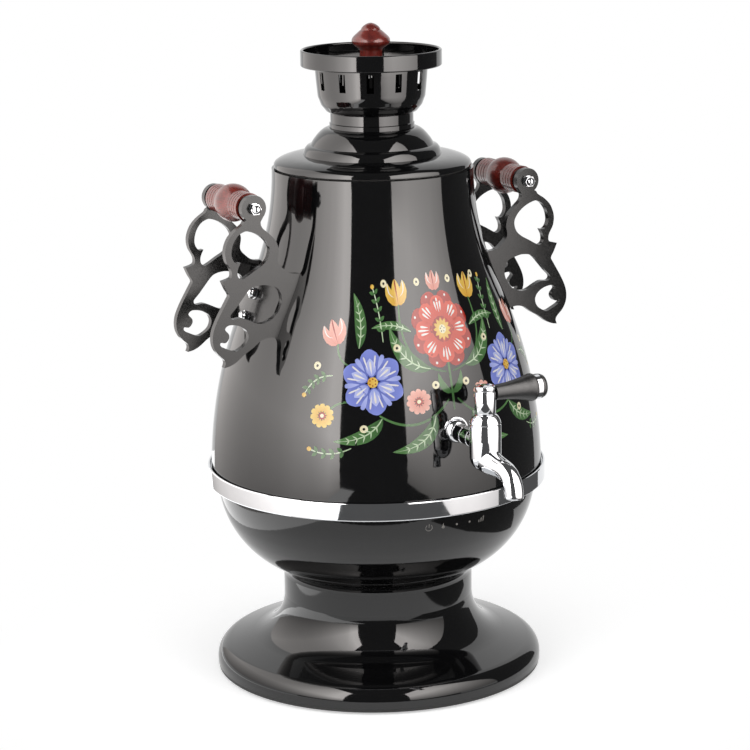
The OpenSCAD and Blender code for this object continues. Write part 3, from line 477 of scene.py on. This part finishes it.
def add_floor():
    bpy.ops.mesh.primitive_circle_add(vertices=FLOOR_SIDES, radius=FLOOR_RADIUS, fill_type="NGON")
    floor = bpy.context.object
    floor.name = "floor"
    made, tree = bare_material("white_paper")
    seen = seen_rays(tree)
    place = add(tree, "TexCoord").outputs["Object"]
    far = add(tree, "VectorMath", {0: place}, operation="LENGTH").outputs["Value"]
    # Near the object the paper is lit and shadowed; further out it fades into the white backdrop
    fade_start, fade_end = FLOOR_FADE
    spread = {"Value": far, "From Min": fade_start, "From Max": fade_end}
    fade = add(tree, "MapRange", spread, interpolation_type="SMOOTHSTEP").outputs["Result"]
    share = add(tree, "Math", {0: fade, 1: seen}, operation="MULTIPLY").outputs[0]
    paper = add(tree, "BsdfDiffuse", {"Color": srgb(PAPER_GREY)}).outputs[0]
    lift = add(tree, "Math", {0: seen, 1: FLOOR_LIFT}, operation="MULTIPLY").outputs[0]
    glow = add(tree, "Emission", {"Strength": lift}).outputs[0]
    lit = add(tree, "AddShader", {0: paper, 1: glow}).outputs[0]
    white = add(tree, "Emission", {"Strength": 1.0}).outputs[0]
    mixed = add(tree, "MixShader", {0: share, 1: lit, 2: white}).outputs[0]
    add(tree, "OutputMaterial", {"Surface": mixed})
    floor.data.materials.append(made)


def add_studio():
    add_world()
    add_floor()
    add_cards()
    for softbox in SOFTBOXES:
        add_softbox(*softbox)


# ---------------------------------------------------------------- painted ornament

# The ornament is drawn flat, in millimetres, x round the body and z up. Then it is wrapped on the body.
WRAP_RADIUS = 108  # turns a width on the drawing into an angle round the body
RAY_START = 0.3  # metres from the axis, outside every piece
PAINT_LIFT = 0.04  # between the lacquer and the first coat
PAINT_COAT = 0.015  # from one coat to the next
STROKE_CELL = 2.5  # about the longest side of a stroke's faces
STROKE_ROWS = 6  # fewest rows along a stroke
STROKE_COLUMNS = 2  # fewest across it
STROKE_REACH = 0.495  # share of a stroke's length from its middle to each drawn end
HAIRLINE = 0.9  # width of veins and thin stems
LEAF_VEINS = (0.2, 0.34, 0.48, 0.62, 0.76)  # shares of a leaf's length
LEAFLET_LENGTH = 4.6
LEAFLET_WIDTH = 2.6
BERRY_RADIUS = 2.7
# How a brush stroke swells from its start and tapers to its end
PETAL = (0.8, 0.4)
LEAF = (0.75, 0.95)
COMMA = (0.35, 1.1)
ROUND = (0.5, 0.5)
LINE = (0.15, 0.15)
BELL_PETAL = (0.8, 0.62)
TULIP_SIDE = (0.5, 0.8)
TULIP_FRONT = (0.5, 0.75)
DROP_TIP = (1.2, 0.3)


def printed_enamel(name, root, tip):
    # Enamel print fired under clear gloss: each stroke runs from a deep to a light tone, with the
    # fine streaks that a brush leaves along it
    made, tree, shader = finish_of(name, IOR=1.5)
    place = add(tree, "TexCoord").outputs["UV"]
    along = add(tree, "SeparateXYZ", {0: place}).outputs["Y"]
    hair = add(tree, "Mapping", {"Vector": place, "Scale": (9, 1.2, 1)}).outputs["Vector"]
    streaks = add(tree, "TexNoise", {"Vector": hair, "Scale": 1.0, "Detail": 1.0}).outputs["Fac"]
    tone = blend_colours(tree, along, root, tip)
    light = vary(tree, streaks, 0.0, 0.35)
    feed(tree, shader, Base_Color=blend_colours(tree, light, tone, tip))
    feed(tree, shader, Roughness=vary(tree, object_noise(tree, 3 * MM), 0.06, 0.12))
    return made


def compass(centre, angle, distance):
    """The point at a distance from a centre, at an angle clockwise from straight up."""
    a = math.radians(angle)
    return centre[0] + distance * math.sin(a), centre[1] + distance * math.cos(a)


def brush(paint, colour, coat, start, end, wide, shape, bend=None):
    """Notes one stroke: from start to end, drawn towards bend, as wide as given where it is widest."""
    start, end = Vector(start), Vector(end)
    bend = Vector(bend) if bend else (start + end) / 2
    paint.setdefault(colour, []).append((coat, start, bend, end, wide, shape))


def dot(paint, colour, coat, centre, radius):
    x, z = centre
    brush(paint, colour, coat, (x - radius, z), (x + radius, z), 2 * radius, ROUND)


def rosette(paint, colour, coat, centre, count, reach, wide, shape, turn=0.0):
    for i in range(count):
        angle = turn + i * 360 / count
        ends = [compass(centre, angle, distance) for distance in reach]
        brush(paint, colour, coat, *ends, wide, shape)


def ring_of_dots(paint, colour, coat, centre, count, distance, radius, turn=0.0):
    for i in range(count):
        dot(paint, colour, coat, compass(centre, turn + i * 360 / count, distance), radius)


def on_curve(start, bend, end, t):
    """A point on the curve from start to end, and the direction there."""
    spot = (1 - t) ** 2 * start + 2 * t * (1 - t) * bend + t**2 * end
    return spot, (2 * (1 - t) * (bend - start) + 2 * t * (end - bend)).normalized()


def leaf(paint, start, bend, end, wide):
    """A green leaf with a pale midrib and side veins."""
    brush(paint, "green", 1, start, end, wide, LEAF, bend)
    brush(paint, "pale_green", 2, start, end, HAIRLINE, COMMA, bend)
    start, bend, end = Vector(start), Vector(bend), Vector(end)
    for t in LEAF_VEINS:
        root, way = on_curve(start, bend, end, t)
        for side in (-1, 1):
            out = Vector((way.y, -way.x)) * side
            reach = wide * 0.4 * (1 - abs(t - 0.42))
            brush(paint, "pale_green", 2, root, root + reach * (out + 0.9 * way), HAIRLINE, COMMA)


def spray(paint, start, bend, end, count):
    """A thin stem with small leaves in pairs and a bud at its tip."""
    brush(paint, "pale_green", 1, start, end, HAIRLINE, LINE, bend)
    start, bend, end = Vector(start), Vector(bend), Vector(end)
    for i in range(count):
        root, way = on_curve(start, bend, end, (i + 1) / (count + 1))
        for side in (-1, 1):
            out = Vector((way.y, -way.x)) * side
            tip = root + LEAFLET_LENGTH * (0.8 * out + 0.6 * way)
            brush(paint, "green", 2, root, tip, LEAFLET_WIDTH, LEAF)
    dot(paint, "yellow", 2, end, 1.6)


def berry(paint, centre):
    dot(paint, "cream", 2, centre, BERRY_RADIUS)
    dot(paint, "dark", 3, centre, BERRY_RADIUS * 0.34)


def great_rosette(paint, centre):
    """Double red rosette with white brush lines and a yellow eye."""
    rosette(paint, "deep_red", 2, centre, 8, (6, 26), 15, PETAL, 22.5)
    rosette(paint, "red", 3, centre, 8, (5, 22), 13, PETAL)
    for spread, reach in ((0, (11, 20.5)), (-8.5, (12, 18.5)), (8.5, (12, 18.5))):
        rosette(paint, "white", 4, centre, 8, reach[::-1], 1.5, COMMA, spread)
    ring_of_dots(paint, "white", 4, centre, 8, 23.4, 0.9, 22.5)
    dot(paint, "deep_red", 4, centre, 8.6)
    rosette(paint, "yellow", 5, centre, 12, (7.6, 2.4), 2.9, PETAL)
    dot(paint, "cream", 6, centre, 3)
    ring_of_dots(paint, "dark", 7, centre, 5, 1.7, 0.45)


def bell_flower(paint, centre, turn):
    """Blue six-petalled flower, pointed, with a paler inner row."""
    rosette(paint, "blue", 2, centre, 6, (3, 22), 15, BELL_PETAL, turn)
    rosette(paint, "pale_blue", 3, centre, 6, (4, 16), 7.5, LEAF, turn)
    for spread in (-14, 14):
        rosette(paint, "white", 4, centre, 6, (18, 8), 1.2, COMMA, turn + spread)
    rosette(paint, "pale_blue", 4, centre, 6, (19.5, 9), 3.4, COMMA, turn + 30)
    rosette(paint, "white", 5, centre, 6, (14, 5), 1.5, COMMA, turn)
    dot(paint, "yellow", 6, centre, 3.6)
    ring_of_dots(paint, "deep_red", 7, centre, 6, 2.2, 0.5)


def daisy(paint, colour, centre, radius):
    rosette(paint, colour, 3, centre, 11, (radius * 0.28, radius), radius * 0.46, PETAL)
    dot(paint, "deep_red", 4, centre, radius * 0.3)
    dot(paint, "cream", 5, centre, radius * 0.16)


def tulip(paint, colour, foot, tall, lean):
    """Closed bud of three petals with fine stripes, leaning by the given angle."""
    tip = compass(foot, lean, tall)
    for side in (-1, 1):
        outer = compass(foot, lean + side * 24, tall * 0.98)
        belly = compass(foot, lean + side * 52, tall * 0.62)
        brush(paint, colour, 2, foot, outer, tall * 0.42, TULIP_SIDE, belly)
        brush(paint, "white", 4, outer, compass(foot, lean + side * 20, tall * 0.3), 1.0, COMMA, belly)
    brush(paint, colour, 3, foot, tip, tall * 0.5, TULIP_FRONT)
    brush(paint, "deep_red", 4, tip, foot, 1.1, COMMA)


def draw_half(paint, side):
    """One half of the ornament, to the right of the middle for side 1."""

    def at(x, z):
        return side * x, z

    brush(paint, "green", 0, at(3, 222), at(52, 214), 1.7, LINE, at(26, 196))
    brush(paint, "green", 0, at(2, 240), at(34, 287), 1.5, LINE, at(38, 246))
    brush(paint, "green", 0, at(60, 220), at(88, 214), 1.4, LINE, at(78, 228))
    brush(paint, "green", 0, at(70, 246), at(82, 262), 1.4, LINE, at(82, 248))
    bell_flower(paint, at(56, 236), side * 8)
    tulip(paint, "yellow", at(34, 286), 17, side * 8)
    tulip(paint, "pink", at(82, 261), 17, side * 24)
    daisy(paint, "pink", at(25, 222), 8.6)
    daisy(paint, "yellow", at(90, 213), 8.2)
    leaf(paint, at(14, 243), at(36, 246), at(43, 272), 11)
    leaf(paint, at(66, 258), at(62, 276), at(72, 294), 9)
    leaf(paint, at(50, 212), at(58, 196), at(82, 196), 9.5)
    leaf(paint, at(14, 212), at(18, 190), at(44, 189), 10)
    leaf(paint, at(26, 268), at(40, 276), at(57, 271), 6)
    spray(paint, at(84, 240), at(98, 240), at(104, 226), 4)
    spray(paint, at(48, 262), at(50, 284), at(56, 298), 5)
    spray(paint, at(70, 192), at(84, 184), at(98, 190), 4)
    for x, z in ((16, 300), (46, 300), (62, 205), (12, 232), (96, 246), (38, 258)):
        berry(paint, at(x, z))


ENAMELS = {
    "green": ("#2c4f2c", "#5f8a52"),
    "pale_green": ("#a9c596", "#dbe8cd"),
    "deep_red": ("#7c1610", "#b5301f"),
    "red": ("#b22a1c", "#e0553b"),
    "pink": ("#d4705f", "#f0b9a8"),
    "blue": ("#4a56ad", "#8f9be6"),
    "pale_blue": ("#8a96e0", "#c6cdf6"),
    "yellow": ("#d9972a", "#f1d36e"),
    "cream": ("#ecdfae", "#f7f0d2"),
    "white": ("#e6dfd8", "#f8f5f1"),
    "dark": ("#1c1512", "#2b211c"),
    "mark_grey": ("#6f6c69", "#918d88"),
}


def lay_stroke(drawing, stroke):
    """Adds a stroke to the edit mesh: a grid, drawn out along its curve and shaped to its width."""
    coat, start, bend, end, wide, (swell, taper) = stroke
    rows = max(STROKE_ROWS, round((end - start).length / STROKE_CELL))
    columns = max(STROKE_COLUMNS, 2 * round(wide / STROKE_CELL / 2))
    bpy.ops.mesh.select_all(action="DESELECT")
    bpy.ops.mesh.primitive_grid_add(x_subdivisions=columns, y_subdivisions=rows, size=1, calc_uvs=True)
    peak = swell / (swell + taper)
    full = peak**swell * (1 - peak) ** taper
    mesh = bmesh.from_edit_mesh(drawing.data)
    for vert in mesh.verts:
        if vert.select:
            # Rows crowd towards the ends, where the outline turns
            t = 0.5 + STROKE_REACH * math.sin(math.pi * vert.co.y)
            spot, way = on_curve(start, bend, end, t)
            spot += Vector((way.y, -way.x)) * vert.co.x * wide * t**swell * (1 - t) ** taper / full
            vert.co = (spot.x * MM, -(PAINT_LIFT + coat * PAINT_COAT) * MM, spot.y * MM)


def wrap_on(drawing, node):
    """Lays a flat drawing on a round piece: x becomes the way round, and -y the height above the piece."""
    piece = frame["nodes"][node]
    for vert in drawing.data.vertices:
        turn = vert.co.x / (WRAP_RADIUS * MM)
        way = Vector((math.sin(turn), -math.cos(turn), 0))
        origin = way * RAY_START + Vector((0, 0, vert.co.z))
        _, spot, normal, _ = piece.ray_cast(origin, -way)
        vert.co = spot - normal * vert.co.y


def paint_on(paint, node, prefix):
    """One piece for each colour, wrapped on a node."""
    for colour, strokes in paint.items():
        bpy.ops.mesh.primitive_grid_add(x_subdivisions=1, y_subdivisions=1, size=MM)
        drawing = bpy.context.object
        drawing.name = prefix + colour
        bpy.ops.object.mode_set(mode="EDIT")
        bpy.ops.mesh.delete(type="VERT")
        for stroke in strokes:
            lay_stroke(drawing, stroke)
        bpy.ops.object.mode_set(mode="OBJECT")
        wrap_on(drawing, node)
        bpy.ops.object.shade_smooth()
        drawing.data.materials.append(printed_enamel("enamel_print_" + prefix + colour, *ENAMELS[colour]))
        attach(drawing, "urn")


def add_ornament():
    paint = {}
    for side in (-1, 1):
        draw_half(paint, side)
    brush(paint, "green", 0, (0, 214), (0, 248), 1.7, LINE)
    great_rosette(paint, (0, 268))
    for side in (-1, 1):
        brush(paint, "green", 1, (0, 226), (side * 9, 240), 5, LEAF, (side * 8, 228))
    tulip(paint, "pink", (0, 294), 13, 0)
    paint_on(paint, "body_shell", "ornament_")


# ---------------------------------------------------------------- touch marks

# In mm, x round the bowl from its front. TOUCH_Z is the middle of the row, and other heights are above it
TOUCH_Z = 132.5
MARK_LINE = 0.5
POWER_X = -20
POWER_RADIUS = 2.3
POWER_STROKE = 3
POWER_ARC = range(35, 326, 29)  # degrees clockwise from the top, where the ring is open
DROP_X = -10
DROP_LOW = -1
DROP_MIDDLE = -0.6
DROP_TOP = 2.6
DROP_RADIUS = 1.1
DROP_WIDTH = 1.5  # of the part that runs up to the tip
KEY_DOTS = (0, 10)
KEY_DOT_RADIUS = 0.8
LEVEL_X = 18
LEVEL_BARS = 3
LEVEL_FOOT = -2
LEVEL_STEP = (1.8, 1.2)  # across and up, from bar to bar
LEVEL_WIDTH = 0.9


def add_touch_marks():
    """Small printed marks of the touch keys: a power sign, a drop, two dots and three level bars."""
    paint = {}
    power = (POWER_X, TOUCH_Z)
    arc = [compass(power, angle, POWER_RADIUS) for angle in POWER_ARC]
    for first, second in zip(arc, arc[1:]):
        brush(paint, "mark_grey", 0, first, second, MARK_LINE, LINE)
    brush(paint, "mark_grey", 0, power, (POWER_X, TOUCH_Z + POWER_STROKE), MARK_LINE, LINE)
    dot(paint, "mark_grey", 0, (DROP_X, TOUCH_Z + DROP_MIDDLE), DROP_RADIUS)
    tip, low = (DROP_X, TOUCH_Z + DROP_TOP), (DROP_X, TOUCH_Z + DROP_LOW)
    brush(paint, "mark_grey", 0, tip, low, DROP_WIDTH, DROP_TIP)
    for x in KEY_DOTS:
        dot(paint, "mark_grey", 0, (x, TOUCH_Z), KEY_DOT_RADIUS)
    across, up = LEVEL_STEP
    for i in range(LEVEL_BARS):
        x = LEVEL_X + across * i
        brush(paint, "mark_grey", 0, (x, TOUCH_Z + LEVEL_FOOT), (x, TOUCH_Z + up * i), LEVEL_WIDTH, LINE)
    paint_on(paint, "lower_bowl", "touch_mark_")


# ---------------------------------------------------------------- smooth pieces

BODY_OF = {node: body for body, nodes in frame["record"]["behaviour"]["bodies"].items() for node in nodes}
MERGE_REACH = 0.005  # mm, points closer than this become one
CAST_EDGE = 0.6  # mm, how far a rounded edge reaches
CAST_SEGMENTS = 2
CAST_CORNER = math.radians(50)  # edges sharper than this are rounded
# Faces that meet at less than this angle become one
CAST_JOIN = math.radians(1.5)
SPUN_JOIN = math.radians(0.2)
# Faces that meet at less than this angle are shaded as one surface
CAST_SMOOTH = math.radians(40)
SMOOTH_ANGLE = math.radians(45)
# How much a face's size counts in the normals
CAST_LEVEL = 100
SPUN_LEVEL = 50


def stand_in(piece, *nodes):
    """The piece takes the place of these nodes: it moves with their body, and the nodes are hidden."""
    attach(piece, BODY_OF[nodes[0]])
    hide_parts(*nodes)


def merged_copy(node, name, join_angle):
    """A selected copy of a piece, its triangles merged into the faces that they are part of."""
    copy = bpy.data.objects.new(name, frame["nodes"][node].data.copy())
    bpy.context.collection.objects.link(copy)
    bpy.ops.object.select_all(action="DESELECT")
    copy.select_set(True)
    bpy.context.view_layer.objects.active = copy
    bpy.ops.object.mode_set(mode="EDIT")
    bpy.ops.mesh.select_all(action="SELECT")
    bpy.ops.mesh.remove_doubles(threshold=MERGE_REACH * MM)
    bpy.ops.mesh.customdata_custom_splitnormals_clear()
    bpy.ops.mesh.dissolve_limited(angle_limit=join_angle)
    bpy.ops.object.mode_set(mode="OBJECT")
    return copy


def level_faces(piece, weight):
    """Large faces keep their own normal, and the small ones between them take up the turn."""
    level = piece.modifiers.new("level_faces", "WEIGHTED_NORMAL")
    level.weight = weight
    level.keep_sharp = True
    bpy.ops.object.modifier_apply(modifier=level.name)


def add_brackets():
    """Each cast bracket with its edges rounded."""
    for side in ("left", "right"):
        cast = merged_copy(side + "_bracket", side + "_cast_bracket", CAST_JOIN)
        rounding = cast.modifiers.new("cast_edge", "BEVEL")
        rounding.width = CAST_EDGE * MM
        rounding.segments = CAST_SEGMENTS
        rounding.angle_limit = CAST_CORNER
        rounding.use_clamp_overlap = True
        bpy.ops.object.modifier_apply(modifier=rounding.name)
        bpy.ops.object.shade_smooth_by_angle(angle=CAST_SMOOTH)
        level_faces(cast, CAST_LEVEL)
        stand_in(cast, side + "_bracket")


def add_spun_pieces():
    """Spun and turned pieces whose outlines curve smoothly between the steps."""
    for node in ("lid_cover", "crown_cup", "crown_dish", "cap_plate", "tap_lever", "lever_end"):
        spun = merged_copy(node, node + "_smooth", SPUN_JOIN)
        bpy.ops.object.shade_smooth_by_angle(angle=SMOOTH_ANGLE)
        level_faces(spun, SPUN_LEVEL)
        stand_in(spun, node)


# ---------------------------------------------------------------- tap and knob

# A skin's stations, in mm: forward of its place, above it, lean from the vertical in degrees, radius
FORWARD, UP, LEAN, RADIUS = range(4)
SKIN_SIDES = 72
TAP_PLACE = (153.5, 199.3)  # the tap's own axis, at the height of its shank
KNOB_PLACE = (0, 444)  # the knob's foot on the cap plate, on the object's axis
# The barrel and the spout have no bore: hidden inside, they run through the valve plug
BARREL = [
    (0, 21.0, 0, 6.2), (0, 20.7, 0, 6.9), (0, 20.2, 0, 7.7), (0, 19.4, 0, 8.5), (0, 18.3, 0, 9.3),
    (0, 17.0, 0, 10.0), (0, 15.6, 0, 10.5), (0, 14.3, 0, 10.8), (0, 14.0, 0, 10.5), (0, 13.4, 0, 10.5),
    (0, 13.1, 0, 10.8), (0, 2.0, 0, 10.9), (0, -8.6, 0, 10.9), (0, -10.9, 0, 10.7), (0, -13.2, 0, 9.9),
    (0, -15.6, 0, 8.4), (0, -17.4, 0, 6.5), (0, -18.8, 0, 4.0), (0, -19.3, 0, 1.5),
]
SPOUT = [
    (0, -10.5, 78, 9.3), (6, -11.4, 80, 8.9), (12, -12.1, 82, 8.1), (18, -12.6, 84, 7.3),
    (23, -13.1, 82, 6.9), (27, -13.9, 72, 6.7), (30.6, -15.7, 54, 6.6), (33.6, -18.5, 36, 6.5),
    (35.6, -22.0, 18, 6.5), (36.4, -25.4, 4, 6.5), (36.5, -28.0, 0, 6.5), (36.5, -29.5, 0, 6.5),
    (36.5, -29.8, 0, 6.2), (36.5, -29.8, 0, 4.5), (36.5, -29.5, 0, 4.1), (36.5, -22.0, 0, 4.0),
]
VALVE_HEAD = [
    (0, 21.2, 0, 6.4), (0, 21.2, 0, 7.0), (0, 21.6, 0, 7.3), (0, 36.0, 0, 7.3), (0, 36.4, 0, 7.0),
    (0, 36.5, 0, 6.4), (0, 36.9, 0, 6.4), (0, 37.0, 0, 6.8), (0, 37.4, 0, 7.0), (0, 39.3, 0, 7.0),
    (0, 39.8, 0, 6.7), (0, 39.9, 0, 6.1), (0, 39.6, 0, 5.8), (0, 39.8, 0, 5.2), (0, 40.4, 0, 4.0),
    (0, 40.8, 0, 2.4), (0, 40.9, 0, 0.8),
]
ROSETTE = [
    (-50.0, 0, 90, 10.2), (-39.6, 0, 90, 10.3), (-38.7, 0, 90, 10.0), (-38.3, 0, 90, 9.4),
    (-38.4, 0, 90, 8.7), (-38.9, 0, 90, 8.4), (-38.3, 0, 90, 8.2), (-36.2, 0, 90, 7.9),
    (-34.8, 0, 90, 7.2), (-34.2, 0, 90, 6.3), (-26.0, 0, 90, 6.3), (-25.7, 0, 90, 5.9),
    (-24.7, 0, 90, 5.9), (-24.4, 0, 90, 6.3), (-17.0, 0, 90, 6.3), (-16.7, 0, 90, 5.9),
    (-15.7, 0, 90, 5.9), (-15.4, 0, 90, 6.3), (-9.0, 0, 90, 6.3),
]
KNOB = [
    (0, 0.0, 0, 9.2), (0, 0.6, 0, 9.7), (0, 1.4, 0, 9.3), (0, 2.2, 0, 8.2), (0, 7.4, 0, 7.9),
    (0, 8.6, 0, 8.3), (0, 9.6, 0, 9.2), (0, 10.8, 0, 11.1), (0, 12.2, 0, 12.8), (0, 13.4, 0, 13.5),
    (0, 14.6, 0, 13.7), (0, 15.6, 0, 13.6), (0, 16.6, 0, 13.2), (0, 17.9, 0, 12.2), (0, 19.3, 0, 10.7),
    (0, 20.8, 0, 9.0), (0, 21.8, 0, 7.9), (0, 22.2, 0, 7.1), (0, 22.6, 0, 6.9), (0, 23.4, 0, 6.6),
    (0, 24.4, 0, 5.9), (0, 25.4, 0, 4.8), (0, 26.3, 0, 3.4), (0, 26.9, 0, 2.0), (0, 27.2, 0, 0.7),
]


def draw_skin(name, place, stations, finish):
    """A closed round skin: a disc extruded from station to station, turned and scaled at each."""
    bpy.ops.object.select_all(action="DESELECT")

    def middle_of(station):
        return Vector((0, -(place[0] + station[FORWARD]), place[1] + station[UP])) * MM

    start = stations[0]
    bpy.ops.mesh.primitive_circle_add(
        vertices=SKIN_SIDES, radius=start[RADIUS] * MM, fill_type="NGON",
        location=middle_of(start), rotation=(math.radians(-start[LEAN]), 0, 0),
    )
    skin = bpy.context.object
    skin.name = name
    bpy.ops.object.transform_apply()
    bpy.ops.object.mode_set(mode="EDIT")
    for before, now in zip(stations, stations[1:]):
        middle = middle_of(now)
        step = {"value": middle - middle_of(before)}
        bpy.ops.mesh.extrude_region_move(TRANSFORM_OT_translate=step)
        lean = math.radians(now[LEAN] - before[LEAN])
        if lean:
            about_x = {"orient_axis": "X", "orient_type": "GLOBAL", "center_override": middle}
            bpy.ops.transform.rotate(value=lean, **about_x)
        bpy.ops.transform.resize(value=[now[RADIUS] / before[RADIUS]] * 3, center_override=middle)
    bpy.ops.mesh.select_all(action="SELECT")
    bpy.ops.mesh.normals_make_consistent(inside=False)
    bpy.ops.object.mode_set(mode="OBJECT")
    bpy.ops.object.shade_smooth_by_angle(angle=SMOOTH_ANGLE)
    skin.data.materials.append(finish)
    return skin


def add_tap():
    """The tap's chrome pieces. The barrel replaces the body with its spout, so the new spout only rides."""
    chrome = SLOT_FINISHES["chrome"]
    stand_in(draw_skin("tap_barrel", TAP_PLACE, BARREL, chrome), "tap_body", "tap_bonnet")
    spout = draw_skin("tap_spout", TAP_PLACE, SPOUT, chrome)
    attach(spout, "urn")
    stand_in(draw_skin("tap_valve_head", TAP_PLACE, VALVE_HEAD, chrome), "valve_head", "tap_cap")
    stand_in(draw_skin("tap_rosette", TAP_PLACE, ROSETTE, chrome), "tap_escutcheon")


def add_knob():
    stand_in(draw_skin("turned_knob", KNOB_PLACE, KNOB, KNOB_WOOD), "knob")


add_camera()
add_studio()
dress_assembly()
add_brackets()
add_spun_pieces()
add_tap()
add_knob()
add_ornament()
add_touch_marks()

scene = bpy.context.scene
scene.view_settings.view_transform = "Standard"
